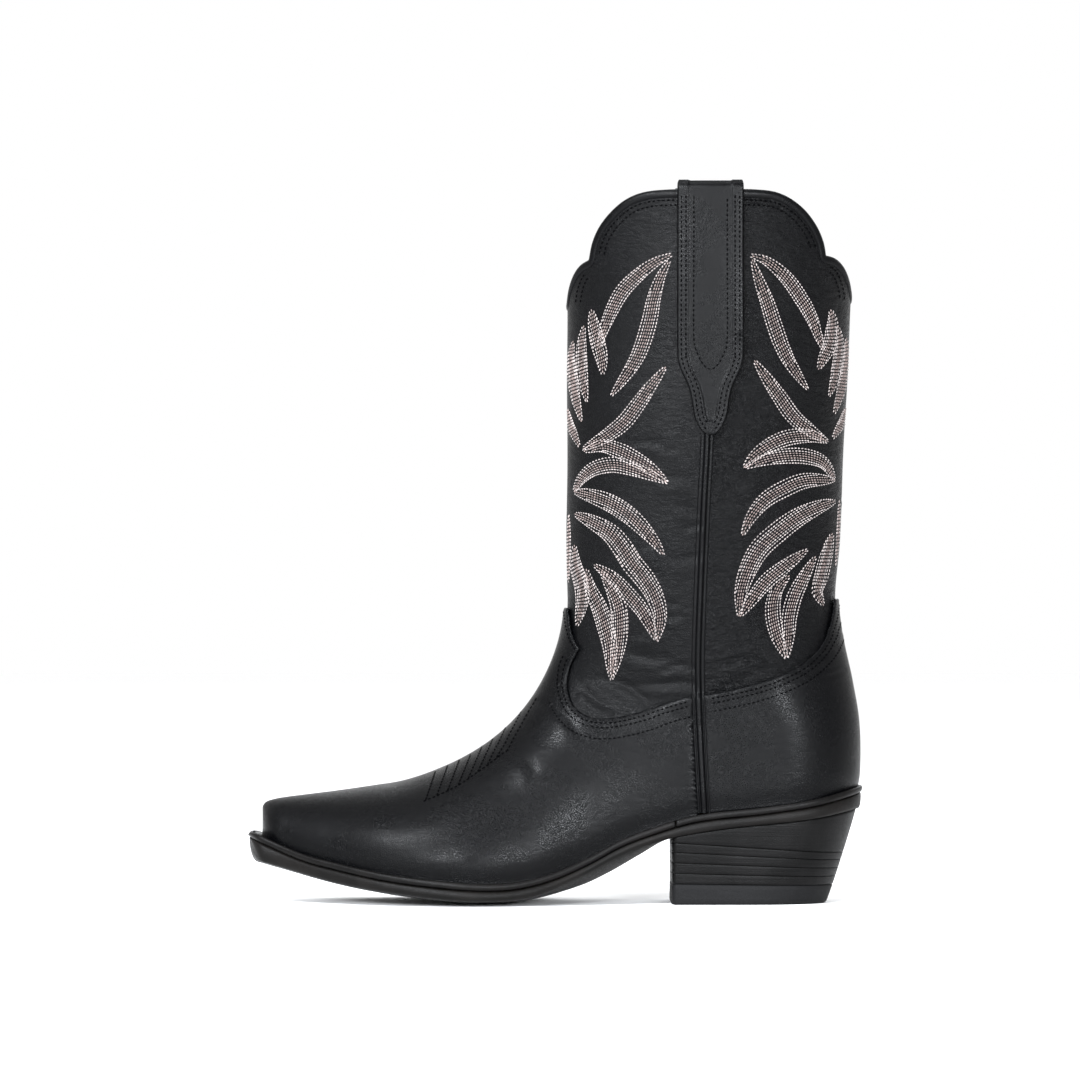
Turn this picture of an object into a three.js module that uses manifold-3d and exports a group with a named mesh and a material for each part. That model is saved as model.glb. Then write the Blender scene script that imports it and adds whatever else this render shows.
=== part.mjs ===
// A cowboy boot for the left foot, in millimetres, +Z up, the toe towards -X, the outer side towards -Y.
// The origin is under the middle of the boot, on the ground.
//
// The upper, its linings and its stiffeners are thin layers of one surface, the boot's form. A layer is the
// form at one depth less the form at another, trimmed to an outline drawn in side view. The bottom is built up
// below the feather, the line where the upper meets the welt.
import * as THREE from "three";
import { mergeVertices } from "three/addons/utils/BufferGeometryUtils.js";
import Module from "manifold-3d";

const wasm = await Module();
wasm.setup();

// ---- driving dimensions ----
const GAP = 0.3; // between pieces that touch
const TOE_X = -137.4; // the front of the form
const UPPER_BACK_X = 143;
const PIVOT_X = -81; // the centre of the instep curve, in front of the ankle
const PIVOT_Z = 144;
const FORM_TOP = 345;

const COVER_DEPTH = [-1.9, -0.3]; // vamp and counter cover, outside the shaft panels
const PANEL_DEPTH = [0, 1.5]; // shaft panels and stiffeners
const LINING_DEPTH = [1.8, 2.8];
const STRAP_DEPTH = [-2.1, -0.3];
const STRAP_INNER_DEPTH = [3.1, 4.7];
const WELTING_DEPTH = [-2.3, -0.3];

const MARGIN = 12; // the upper's edge, turned in under the insole
const OVERLAP = 12; // how far the shaft panels run in under the vamp and the counter cover
const INSOLE_THICKNESS = 3.5;
const SOCK_THICKNESS = 1.4;
const WELT_THICKNESS = 3.2;
const SHANK_THICKNESS = 1.2;
const PIPING_WIDTH = 4.3;
const BINDING_HEIGHT = 1.3;
const STRAP_TOP = 341;

const BREAST_X = 54.7; // the flat front face of the heel
const HEEL_BACK_BOTTOM_X = 128.6;
const HEEL_BACK_TOP_X = 144.8;
const HEEL_HALF_WIDTH_TOP = 33.5;
const HEEL_HALF_WIDTH_BOTTOM = 28.5;
const LIFT_BREAST_Z = [10, 15, 20, 25, 29.5]; // the joints in the stack, at the breast
const LIFT_FALL = [1, 2, 3, 4, 5]; // how much lower each joint is at the back
const NAIL_RADIUS = 1.3;

const AROUND_SIDE = 9; // facets down each side of the form
const SHAFT_ROWS = 5;
const HEEL_ROWS = 4;
const INSTEP_ROWS = 9;
const TOE_ROWS = 6;

// ---- curves ----
const clamp01 = (q) => Math.min(1, Math.max(0, q));
const mix = (a, b, q) => a + (b - a) * q;

function smooth(q) {
  const c = clamp01(q);
  return c * c * (3 - 2 * c);
}

// A smooth function through [q, value] points.
function through(points) {
  const last = points.length - 1;
  const slopes = points.map((p, i) => {
    const before = points[Math.max(i - 1, 0)];
    const after = points[Math.min(i + 1, last)];
    return (after[1] - before[1]) / (after[0] - before[0]);
  });
  return (q) => {
    let i = 0;
    while (i < last - 1 && q > points[i + 1][0]) i += 1;
    const [q0, v0] = points[i];
    const [q1, v1] = points[i + 1];
    const width = q1 - q0;
    const u = clamp01((q - q0) / width);
    const bend = u * (1 - u) * width;
    return mix(v0, v1, smooth(u)) + bend * ((1 - u) * slopes[i] - u * slopes[i + 1]);
  };
}

// How a half-width grows from nothing at a rounded edge: q is the distance in, as a share of the rounding.
const closing = (q, power) => Math.pow(1 - Math.pow(1 - clamp01(q), power), 1 / power);

// Side view: the front of the shaft and the back of the boot as x at a height, the instep as a radius at an
// angle in degrees about the pivot, and the toe's ridge and the feather as a height at x.
const shaftFront = through([[144, 6.1], [175, 5.7], [345, 5.8]]);
const back = through([
  [50, 141.1], [62, 143.1], [86, 142.8], [105, 139.6], [125, 135.3], [144, 133.2], [172, 135.3],
  [286, 140.7], [345, 143],
]);
const instep = through([[0, 87.1], [45, 85.7], [70, 86.1], [90, 89.6]]);
const ridge = through([[-137.4, 43.6], [-133, 46.2], [-128, 47.7], [-102, 51.3], [-81, 54.4]]);
const feather = through([
  [-145, 34.5], [-121, 24.4], [-103.6, 20], [-80.6, 15.4], [-57.6, 12.5], [-34.5, 10.8], [-17, 11.7], [0, 16],
  [17, 23.4], [30, 30.4], [45, 36.2], [66.6, 42.5], [99.4, 46.4], [123.6, 50.2], [148, 56.5],
]);
const sideSeam = through([
  [30, 71], [79, 68.4], [109, 67.4], [129, 67.6], [189, 69.9], [220, 71.4], [345, 74],
]);

// Plan view: half-width at the feather, half-width of the leg at a height, and the foot's bent centre line.
const seatWidth = through([
  [-145, 12.5], [-130, 17.5], [-110, 28], [-80, 40.5], [-45, 45], [-15, 40.5], [20, 32.5], [55, 31],
  [100, 32], [145, 32],
]);
const legWidth = through([[100, 34], [144, 37], [200, 41], [345, 45.5]]);
const centreLine = through([[-145, 6], [-100, 4], [-45, -0.2], [15, -2.5], [60, 0], [145, 0]]);

// The foot's centre line and width give way to the leg's from the ankle bone up.
const legShare = (z) => smooth((z - 55) / 85);
const centreY = (x, z) => centreLine(x) * (1 - legShare(z));
const backRounding = (z) => mix(36, 66, smooth((z - 70) / 80));

// Half-width in plan at the feather, a depth t inside the form.
function seatHalf(x, t) {
  const heel = closing((back(feather(x)) - t - x) / 36, 2.2);
  const toe = closing((x - TOE_X - t) / 9, 2.4);
  return (seatWidth(x) - t) * heel * toe;
}

// ---- the form ----
// A row is a line across the side view, from the front of the boot to its back or its feather.
function row(x, z, angle, t) {
  const dir = new THREE.Vector2(Math.cos(angle), -Math.sin(angle));
  const start = new THREE.Vector2(x, z);
  const degrees = THREE.MathUtils.radToDeg(angle);
  let near = instep(degrees) + t;
  if (angle === 0) near = shaftFront(z) + t - x;
  if (x < PIVOT_X) near = z - ridge(x) + t;
  let far = near;
  let limit = 300;
  for (let i = 0; i < 40; i += 1) {
    const half = (far + limit) / 2;
    const p = start.clone().addScaledVector(dir, half);
    const inside = p.x < back(p.y) - t && p.y > feather(p.x) + t;
    if (inside) far = half;
    else limit = half;
  }
  const share = mix(0.5, 0.95, smooth(degrees / 60));
  return { start, dir, near, far, rounding: (far - near) * share, t };
}

// The place of a row's point: r is 0 at the front and 1 at the back, side is -1 or 1.
function formPoint(line, r, side) {
  const { start, dir, near, far, rounding, t } = line;
  const p = start.clone().addScaledVector(dir, mix(near, far, r));
  const foot = seatWidth(p.x) + 1.5 * (1 - Math.exp(-(((p.y - feather(p.x)) / 6) ** 2)));
  const full = mix(foot, legWidth(p.y), legShare(p.y)) - t;
  const frontEdge = closing((r * (far - near)) / rounding, 2.1);
  const backEdge = closing((back(p.y) - t - p.x) / backRounding(p.y), 2.2);
  const toeEdge = closing((p.x - TOE_X - t) / 9, 2.4);
  const half = Math.max(full * frontEdge * backEdge * toeEdge, r > 0 ? 0.8 : 0);
  return new THREE.Vector3(p.x, centreY(p.x, p.y) + side * half, p.y);
}

function formRows(t) {
  let x = 140;
  let z = 55;
  for (let i = 0; i < 20; i += 1) {
    x = back(z) - t;
    z = feather(x) + t;
  }
  const corner = Math.atan2(PIVOT_Z - z, x - PIVOT_X);
  const rows = [];
  for (let i = 0; i < SHAFT_ROWS; i += 1) {
    rows.push(row(PIVOT_X, mix(FORM_TOP, PIVOT_Z, i / SHAFT_ROWS), 0, t));
  }
  for (let i = 0; i < HEEL_ROWS; i += 1) rows.push(row(PIVOT_X, PIVOT_Z, mix(0, corner, i / HEEL_ROWS), t));
  for (let i = 0; i < INSTEP_ROWS; i += 1) {
    const q = Math.pow(i / INSTEP_ROWS, 1.5); // closer together round the back of the heel seat
    rows.push(row(PIVOT_X, PIVOT_Z, mix(corner, Math.PI / 2, q), t));
  }
  for (let i = 0; i <= TOE_ROWS; i += 1) {
    const q = Math.sin(((i / TOE_ROWS) * Math.PI) / 2);
    rows.push(row(mix(PIVOT_X, TOE_X + t + 0.4, q) - (i ? 0 : 1e-6), PIVOT_Z, Math.PI / 2, t));
  }
  return rows;
}

// The solid form at depth t: a closed cylinder, bent so that each of its rings follows one row.
function makeForm(t) {
  const rows = formRows(t);
  const columns = 2 * AROUND_SIDE + 2;
  const geometry = new THREE.CylinderGeometry(1, 1, 1, columns, rows.length - 1);
  const position = geometry.getAttribute("position");
  for (let i = 0; i < position.count; i += 1) {
    const turn = Math.atan2(position.getX(i), position.getZ(i)) / (2 * Math.PI);
    const column = Math.round(turn * columns);
    const line = rows[Math.round((0.5 - position.getY(i)) * (rows.length - 1))];
    const step = Math.abs(column);
    const r = (1 - Math.cos((Math.min(step, AROUND_SIDE) / AROUND_SIDE) * Math.PI)) / 2;
    let p = formPoint(line, r, -Math.sign(column));
    if (step > AROUND_SIDE) p.y = centreY(p.x, p.z);
    if (Math.hypot(position.getX(i), position.getZ(i)) < 0.5) {
      p = formPoint(line, 0.5, 1);
      p.y = centreY(p.x, p.z);
    }
    position.setXYZ(i, p.x, p.y, p.z);
  }
  return toSolid(geometry);
}

// ---- solids ----
function toSolid(geometry) {
  const bare = geometry.clone();
  bare.deleteAttribute("normal");
  bare.deleteAttribute("uv");
  const merged = mergeVertices(bare, 1e-4);
  return new wasm.Manifold(
    new wasm.Mesh({
      numProp: 3,
      vertProperties: new Float32Array(merged.getAttribute("position").array),
      triVerts: new Uint32Array(merged.index.array),
    }),
  );
}

const formCache = new Map();

function form(t) {
  if (!formCache.has(t)) formCache.set(t, makeForm(t));
  return formCache.get(t);
}

const layer = ([outer, inner]) => form(outer).subtract(form(inner));

// A side-view outline, drawn through its points, as a solid right across the boot.
function slab(points, low = -80, high = 80) {
  const outline = new THREE.Shape(points.map(([x, z]) => new THREE.Vector2(x, z)));
  const geometry = new THREE.ExtrudeGeometry(outline, { depth: high - low, bevelEnabled: false });
  geometry.rotateX(Math.PI / 2);
  geometry.translate(0, high, 0);
  return toSolid(geometry);
}

// A flat layer of the bottom: a box bent to a plan outline, between two heights that depend on x and on the
// place v across it, from -1 to 1. Its steps are closer together towards its ends.
function bed({ from, to, half, low, high, along = 20, across = 4 }) {
  const geometry = new THREE.BoxGeometry(1, 2, 1, along, across, 1);
  const position = geometry.getAttribute("position");
  for (let i = 0; i < position.count; i += 1) {
    const u = (1 - Math.cos((position.getX(i) + 0.5) * Math.PI)) / 2;
    const v = position.getY(i);
    const x = mix(from, to, u);
    const z = position.getZ(i) > 0 ? high(x, v) : low(x, v);
    position.setXYZ(i, x, centreLine(x) + v * Math.max(half(x), 0.6), z);
  }
  return toSolid(geometry);
}

const group = new THREE.Group();

function addPiece(name, solid, material) {
  const { vertProperties, triVerts, numProp, numVert } = solid.getMesh();
  const positions = new Float32Array(numVert * 3);
  for (let i = 0; i < numVert; i += 1) {
    for (let k = 0; k < 3; k += 1) positions[i * 3 + k] = vertProperties[i * numProp + k];
  }
  const geometry = new THREE.BufferGeometry();
  geometry.setAttribute("position", new THREE.BufferAttribute(positions, 3));
  geometry.setIndex(new THREE.BufferAttribute(new Uint32Array(triVerts), 1));
  geometry.computeVertexNormals();
  const mesh = new THREE.Mesh(geometry, material);
  mesh.name = name;
  group.add(mesh);
}

const finish = (color, roughness, metalness = 0) => () => {
  return new THREE.MeshStandardMaterial({ color, roughness, metalness });
};
const upperLeather = finish(0x23252b, 0.42);
const liningLeather = finish(0x9a7a58, 0.75);
const strapLeather = finish(0x202228, 0.45);
const soleLeather = finish(0x2a2320, 0.5);
const stackLeather = finish(0x191513, 0.45);
const capRubber = finish(0x1c1c1d, 0.8);
const innerLeather = finish(0xb08a62, 0.8);
const stiffenerBoard = finish(0x7d6a55, 0.85);
const cork = finish(0x8f6b43, 0.9);
const steel = finish(0x8c9096, 0.35, 1);
const brass = finish(0xb08d4a, 0.35, 1);

// ---- outlines in side view ----
const TOPLINE = [
  [-20, 283], [5.6, 283.5], [7.6, 293], [12.4, 300.8], [16.6, 303.3], [18.4, 311.5], [21.6, 318.8],
  [26.5, 325.4], [33, 330.8], [41, 334], [52, 335], [95, 335], [106, 333.4], [115, 328], [121.6, 320.4],
  [125.6, 312.6], [127, 305], [132, 303.8], [136.6, 299.8], [140, 293], [141.2, 286], [165, 285],
];
const VAMP_EDGE = [
  [-30, 140], [5.4, 139.5], [5.9, 130], [7.9, 125], [11.4, 120], [8, 112.5], [5.9, 103], [8.4, 93.6],
  [14, 88.6], [22.9, 87.6], [33, 89], [42.9, 91.6], [52.9, 95.6], [65.2, 99],
];
const COUNTER_EDGE = [
  [70.9, 99], [83, 101.6], [103, 107], [113, 111], [120, 116], [126, 123], [129.4, 131], [131.6, 140],
  [133, 144.5], [165, 144.5],
];
const STRAP = [
  [57.5, 262], [58.4, 254], [63, 243], [64.6, 231], [68.5, 224], [72.7, 221.3], [77, 224], [80.8, 231],
  [82.6, 243], [87.4, 254], [88.4, 262],
];

const shifted = (points, dx, dz) => points.map(([x, z]) => [x + dx, z + dz]);
const seamLine = (zLow, zHigh, offset) => {
  const steps = 8;
  return Array.from({ length: steps + 1 }, (_, i) => {
    const z = mix(zLow, zHigh, i / steps);
    return [sideSeam(z) + offset, z];
  });
};
const toplineBefore = (x) => TOPLINE.filter((p) => p[0] < x);
const toplineAfter = (x) => TOPLINE.filter((p) => p[0] > x);

// ---- the upper ----
function addUpper() {
  const cover = layer(COVER_DEPTH);
  const panel = layer(PANEL_DEPTH);
  const aside = PIPING_WIDTH / 2 + GAP;

  const floorCut = bed({
    from: TOE_X + MARGIN, to: UPPER_BACK_X - MARGIN, half: (x) => seatHalf(x, MARGIN),
    low: (x) => feather(x) - 6, high: (x) => feather(x) + 3.5, along: 14, across: 2,
  });
  const vampOutline = [
    ...VAMP_EDGE, ...seamLine(99, 30, -aside).slice(1), [sideSeam(30), -20], [-160, -20], [-160, 140],
  ];
  addPiece("vamp", cover.intersect(slab(vampOutline)).subtract(floorCut), upperLeather());

  const counterOutline = [
    ...COUNTER_EDGE, [165, -20], [sideSeam(30) + aside, -20], ...seamLine(30, 97, aside),
  ];
  addPiece("heel_counter_cover", cover.intersect(slab(counterOutline)).subtract(floorCut), upperLeather());

  const seamTop = [sideSeam(335), 335];
  const frontOutline = [
    ...toplineBefore(60), [seamTop[0] - GAP / 2, 335], ...seamLine(320, 99 - OVERLAP, -GAP / 2),
    ...shifted(VAMP_EDGE.slice(1, -1), 0, -OVERLAP).reverse(), [-30, 125],
  ];
  addPiece("shaft_front_panel", panel.intersect(slab(frontOutline)), upperLeather());

  const backOutline = [
    ...toplineAfter(90), ...shifted(COUNTER_EDGE.slice(1), 0, -OVERLAP).reverse(),
    ...seamLine(99 - OVERLAP, 320, GAP / 2), [seamTop[0] + GAP / 2, 335],
  ];
  addPiece("shaft_back_panel", panel.intersect(slab(backOutline)), upperLeather());

  const toeBox = slab([[-160, 8], [-90, feather(-90) + 2], [-84, 90], [-160, 90]]);
  addPiece("toe_box_stiffener", panel.intersect(toeBox).subtract(slabUnderFeather()), stiffenerBoard());
  const stiffenerTop = shifted(COUNTER_EDGE, 0, -OVERLAP - GAP);
  const counterStiffener = slab([[86, 46], ...stiffenerTop.slice(1), [165, 46]]);
  const stiffener = panel.intersect(counterStiffener).subtract(slabUnderFeather());
  addPiece("heel_counter_stiffener", stiffener, stiffenerBoard());
}

// Everything up to a little above the feather, for pieces that stop where the insole starts.
function slabUnderFeather() {
  const steps = 24;
  const edge = Array.from({ length: steps + 1 }, (_, i) => {
    const x = mix(-160, 165, i / steps);
    return [x, feather(x) + 2];
  });
  return slab([...edge, [165, -30], [-160, -30]]);
}

// ---- the linings ----
function addLinings() {
  const lining = layer(LINING_DEPTH);
  const front = [
    ...toplineBefore(60), [sideSeam(335) - GAP / 2, 335], ...seamLine(320, 116, -GAP / 2), [-30, 116],
  ];
  addPiece("shaft_lining_front", lining.intersect(slab(front)), liningLeather());
  const rear = [
    ...toplineAfter(90), [165, 108], ...seamLine(108, 320, GAP / 2), [sideSeam(335) + GAP / 2, 335],
  ];
  addPiece("shaft_lining_back", lining.intersect(slab(rear)), liningLeather());

  const floorCut = bed({
    from: TOE_X + MARGIN, to: UPPER_BACK_X - MARGIN, half: (x) => seatHalf(x, MARGIN),
    low: (x) => feather(x) - 6, high: (x) => feather(x) + 5, along: 14, across: 2,
  });
  const vampLining = slab([[-160, 115.7], ...seamLine(115.7, 30, -GAP / 2), [-160, -20]]);
  addPiece("vamp_lining", lining.intersect(vampLining).subtract(floorCut), liningLeather());
  const heelLining = slab([...seamLine(30, 107.7, GAP / 2), [165, 107.7], [165, 20]]);
  addPiece("heel_lining", lining.intersect(heelLining).subtract(floorCut), liningLeather());
}

// ---- edges, side seams and pull straps ----
function addEdges() {
  const rim = layer([PANEL_DEPTH[0], LINING_DEPTH[1]]);
  const band = (points) =>
    slab([...shifted(points, 0, GAP), ...shifted(points, 0, GAP + BINDING_HEIGHT).reverse()]);
  const frontRim = [...toplineBefore(60), [sideSeam(335) - GAP / 2, 335]];
  const backRim = [[sideSeam(335) + GAP / 2, 335], ...toplineAfter(90)];
  addPiece("topline_binding_front", rim.intersect(band(frontRim)), strapLeather());
  addPiece("topline_binding_back", rim.intersect(band(backRim)), strapLeather());

  const piping = slab([...seamLine(219.5, 30, -PIPING_WIDTH / 2), ...seamLine(30, 219.5, PIPING_WIDTH / 2)]);
  const ridgeStrip = layer(WELTING_DEPTH).intersect(piping).subtract(slabUnderWelt());
  const strapShape = slab([...STRAP, [88.4, 360], [57.5, 360]]);
  const bridgeFoot = STRAP_TOP - 1.8;
  const bridgeShape = slab([[57.5, bridgeFoot], [88.4, bridgeFoot], [88.4, STRAP_TOP], [57.5, STRAP_TOP]]);
  const innerShape = slab([[57.5, 288], [88.4, 288], [88.4, 360], [57.5, 360]]);
  const belowTop = slab([[0, 0], [165, 0], [165, STRAP_TOP], [0, STRAP_TOP]]);
  const outerLeg = layer(STRAP_DEPTH).intersect(strapShape);
  const innerLeg = layer(STRAP_INNER_DEPTH).intersect(innerShape);
  const bridge = layer([STRAP_DEPTH[0], STRAP_INNER_DEPTH[1]]).intersect(bridgeShape);
  const strap = outerLeg.add(innerLeg).intersect(belowTop).add(bridge);
  const everything = [[-200, -50], [200, -50], [200, 400], [-200, 400]];
  [["lateral", slab(everything, -80, 0)], ["medial", slab(everything, 0, 80)]].forEach(([side, half]) => {
    addPiece(`side_welt_${side}`, ridgeStrip.intersect(half), strapLeather());
    addPiece(`pull_strap_${side}`, strap.intersect(half), strapLeather());
  });
}

function slabUnderWelt() {
  const steps = 12;
  const edge = Array.from({ length: steps + 1 }, (_, i) => {
    const x = mix(40, 100, i / steps);
    return [x, feather(x) + GAP];
  });
  return slab([...edge, [100, -30], [40, -30]]);
}

// ---- the bottom, from the sock down ----
function addInsides() {
  const inset = LINING_DEPTH[1] + GAP;
  const insideHalf = (extra) => (x) => seatHalf(x, inset + extra);
  const insoleBed = bed({
    from: TOE_X, to: 145, half: insideHalf(-4),
    low: (x) => feather(x) + inset, high: (x) => feather(x) + inset + INSOLE_THICKNESS, across: 2,
  });
  addPiece("insole", insoleBed.intersect(form(inset)), innerLeather());
  addPiece("heel_sock", bed({
    from: 60, to: 136.5, half: insideHalf(3),
    low: (x) => feather(x) + inset + INSOLE_THICKNESS + GAP,
    high: (x) => feather(x) + inset + INSOLE_THICKNESS + GAP + SOCK_THICKNESS, along: 12, across: 2,
  }), liningLeather());

  const shankHalf = (x) => 8 - 2 * smooth((Math.abs(x - 40) - 20) / 40);
  const shankLow = LINING_DEPTH[1] - GAP - SHANK_THICKNESS;
  const shank = (extra) => bed({
    from: -25 - extra, to: 108 + extra, half: (x) => shankHalf(x) + extra,
    low: (x) => feather(x) + shankLow - extra,
    high: (x) => feather(x) + shankLow + SHANK_THICKNESS + 2 * extra,
    along: 14, across: 2,
  });
  addPiece("steel_shank", shank(0), steel());
  const filler = bed({
    from: TOE_X + MARGIN + 2, to: UPPER_BACK_X - MARGIN - 5, half: (x) => seatHalf(x, MARGIN + 1.2),
    low: (x) => feather(x) - WELT_THICKNESS + 2 * GAP,
    high: (x) => feather(x) + LINING_DEPTH[1] - GAP,
    along: 14, across: 2,
  });
  addPiece("cork_filler", filler.subtract(shank(GAP)), cork());
}

// The outline of the welt and the sole: wide round the forefoot, close to the upper at waist and heel.
const weltReach = through([
  [-145, 5.6], [-110, 6.4], [-60, 6.6], [-25, 6], [10, 4], [35, 3.2], [60, 3.2], [145, 3.2],
]);
const SOLE_FRONT_X = -146;
const SOLE_BACK_X = 146;

function soleHalf(x, trim = 0) {
  const toe = closing((x - SOLE_FRONT_X - trim) / 8, 2.6);
  const heel = closing((SOLE_BACK_X - trim - x) / 36, 2.2);
  return (seatWidth(x) + weltReach(x) - trim) * toe * heel;
}

function addWelt() {
  const ring = bed({
    from: SOLE_FRONT_X, to: SOLE_BACK_X, half: (x) => soleHalf(x),
    low: (x) => feather(x) - WELT_THICKNESS, high: (x) => feather(x), along: 30, across: 2,
  });
  const middle = bed({
    from: TOE_X + 8, to: 137, half: (x) => seatHalf(x, 5),
    low: (x) => feather(x) - 10, high: (x) => feather(x) + 10, along: 20, across: 2,
  });
  const open = ring.subtract(form(COVER_DEPTH[0] - 2 * GAP)).subtract(middle);
  const joint = BREAST_X + 2;
  const front = slab([[-200, -50], [joint, -50], [joint, 120], [-200, 120]]);
  const rear = slab([[joint + GAP, -50], [200, -50], [200, 120], [joint + GAP, 120]]);
  addPiece("welt", open.intersect(front), soleLeather());
  addPiece("heel_rand", open.intersect(rear), soleLeather());
}

// The underside of the sole along its middle and along its edge. The waist is convex across its width.
const soleMiddle = through([
  [-145, 20], [-130, 15.8], [-102, 8.4], [-73.7, 3.3], [-45, 0.3], [-24, 0.3], [-9.5, 2], [11.9, 8],
  [26, 14.5], [40.4, 22.8], [54, 30.5], [80, 36], [120, 40.5], [148, 46],
]);
const soleEdge = through([
  [-145, 21.6], [-130, 17.5], [-102, 10.5], [-73.7, 6], [-45, 2.9], [-24, 2.9], [-9.5, 5], [11.9, 13.6],
  [26, 21], [40.4, 27.6], [54, 31.5], [80, 36], [120, 40.5], [148, 46],
]);

function soleBed(grown) {
  return bed({
    from: SOLE_FRONT_X, to: SOLE_BACK_X, half: (x) => soleHalf(x, 0.6) + grown, along: 30, across: 4,
    low: (x, v) => mix(soleMiddle(x), soleEdge(x), v * v) - grown,
    high: (x) => feather(x) - WELT_THICKNESS - GAP + grown,
  });
}

// ---- the heel ----
const heelBack = (z) => mix(HEEL_BACK_BOTTOM_X, HEEL_BACK_TOP_X, Math.pow(clamp01(z / 50), 0.9));
const heelWidth = (z) => mix(HEEL_HALF_WIDTH_BOTTOM, HEEL_HALF_WIDTH_TOP, smooth(z / 50));

// The whole heel between two surfaces: a box bent to a D in plan, which leans in towards the ground.
function heelPiece(low, high) {
  const geometry = new THREE.BoxGeometry(1, 2, 1, 10, 4, 1);
  const position = geometry.getAttribute("position");
  for (let i = 0; i < position.count; i += 1) {
    const u = Math.sin(((position.getX(i) + 0.5) * Math.PI) / 2);
    const surface = position.getZ(i) > 0 ? high : low;
    let z = surface(100);
    let x = 100;
    for (let k = 0; k < 6; k += 1) {
      x = mix(BREAST_X, heelBack(z), u);
      z = surface(x);
    }
    const round = closing((heelBack(z) - x) / 38, 2.2);
    position.setXYZ(i, x, position.getY(i) * Math.max(heelWidth(z) * round, 0.6), z);
  }
  return toSolid(geometry);
}

function addHeel() {
  const joint = (k) => (x) => LIFT_BREAST_Z[k] - (LIFT_FALL[k] * (x - BREAST_X)) / 75;
  const raised = (surface) => (x) => surface(x) + GAP;
  const insideSole = (x) => soleMiddle(x) + 1;
  const nails = [[72, 14], [72, -14], [95, 19], [95, -19], [114, 0]];
  const drill = (radius, from, to) => nails.map(([x, y]) => {
    const geometry = new THREE.CylinderGeometry(radius, radius, to - from, 8);
    geometry.rotateX(Math.PI / 2);
    geometry.translate(x, y, (from + to) / 2);
    return toSolid(geometry);
  });
  const holes = drill(NAIL_RADIUS + GAP, 5, 31);
  const drilled = (solid) => holes.reduce((rest, hole) => rest.subtract(hole), solid);

  addPiece("heel_top_lift", drilled(heelPiece(() => 0, joint(0))), capRubber());
  for (let k = 1; k < LIFT_BREAST_Z.length; k += 1) {
    addPiece(`heel_lift_${k}`, drilled(heelPiece(raised(joint(k - 1)), joint(k))), stackLeather());
  }
  const wedge = heelPiece(raised(joint(LIFT_BREAST_Z.length - 1)), insideSole).subtract(soleBed(GAP));
  addPiece("heel_wedge_lift", drilled(wedge), stackLeather());
  drill(NAIL_RADIUS, 5 + GAP, 31 - GAP).forEach((nail, i) => addPiece(`heel_nail_${i + 1}`, nail, brass()));
}

addUpper();
addLinings();
addEdges();
addInsides();
addWelt();
addPiece("outsole", soleBed(0), soleLeather());
addHeel();

export default group;
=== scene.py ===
"""A cowboy boot: grained black uppers with a stitched leaf pattern, piped side seams, pull straps, a welted sole
and a stacked heel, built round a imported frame. Sizes inside the script are in millimetres unless they say so."""

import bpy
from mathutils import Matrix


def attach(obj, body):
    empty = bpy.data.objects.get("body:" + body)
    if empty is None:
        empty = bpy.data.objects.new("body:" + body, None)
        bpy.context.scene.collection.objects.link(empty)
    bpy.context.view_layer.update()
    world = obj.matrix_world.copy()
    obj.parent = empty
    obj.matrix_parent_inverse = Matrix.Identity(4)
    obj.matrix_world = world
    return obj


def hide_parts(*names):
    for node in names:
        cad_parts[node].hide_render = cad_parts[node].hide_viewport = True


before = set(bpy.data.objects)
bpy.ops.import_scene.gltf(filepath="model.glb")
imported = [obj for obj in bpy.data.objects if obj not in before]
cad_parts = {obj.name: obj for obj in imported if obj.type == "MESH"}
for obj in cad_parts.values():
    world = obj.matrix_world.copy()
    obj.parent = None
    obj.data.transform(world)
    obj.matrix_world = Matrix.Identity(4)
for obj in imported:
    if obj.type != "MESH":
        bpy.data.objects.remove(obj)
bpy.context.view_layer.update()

import math

import bmesh
import bpy
import numpy as np
from mathutils import Vector, kdtree

bl_info = {
    "name": "Cowboy boot",
    "version": (1, 0, 0),
    "blender": (4, 5, 0),
    "location": "3D View > Sidebar > Boot",
    "description": "Builds a stitched western boot piece by piece",
    "category": "Add Mesh",
}

MM = 0.001
SIDES = {"lateral": -1, "medial": 1}
TOE_TIP, HEEL_TIP = -146.0, 146.0

# ---- curves ----


def clamp01(q):
    return np.clip(q, 0.0, 1.0)


def mix(a, b, q):
    return a + (b - a) * q


def smooth(q):
    c = clamp01(q)
    return c * c * (3 - 2 * c)


def closing(q, power):
    """How a half-width grows from nothing at a rounded edge, q being the share of the rounding."""
    return (1 - (1 - clamp01(q)) ** power) ** (1 / power)


def through(*points):
    """A smooth function through (q, value) points."""
    q, v = np.array(points, float).T
    before = np.maximum(np.arange(len(q)) - 1, 0)
    after = np.minimum(np.arange(len(q)) + 1, len(q) - 1)
    slope = (v[after] - v[before]) / (q[after] - q[before])

    def curve(at):
        at = np.asarray(at, float)
        i = np.clip(np.searchsorted(q, at) - 1, 0, len(q) - 2)
        width = q[i + 1] - q[i]
        u = clamp01((at - q[i]) / width)
        bend = u * (1 - u) * width
        return mix(v[i], v[i + 1], smooth(u)) + bend * ((1 - u) * slope[i] - u * slope[i + 1])

    return curve


def drawn(points, step=0.4):
    """A side-view or plan line drawn smoothly through its points, as close, even steps."""
    p = np.array(points, float)
    p = np.vstack([2 * p[0] - p[1], p, 2 * p[-1] - p[-2]])
    runs = []
    t = np.linspace(0, 1, 24, endpoint=False)[:, None]
    for a, b, c, d in zip(p, p[1:], p[2:], p[3:]):
        runs.append(b + 0.5 * t * (c - a + t * (2 * a - 5 * b + 4 * c - d + t * (3 * (b - c) + d - a))))
    return resampled(np.vstack(runs + [p[-2:-1]]), step)


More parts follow.
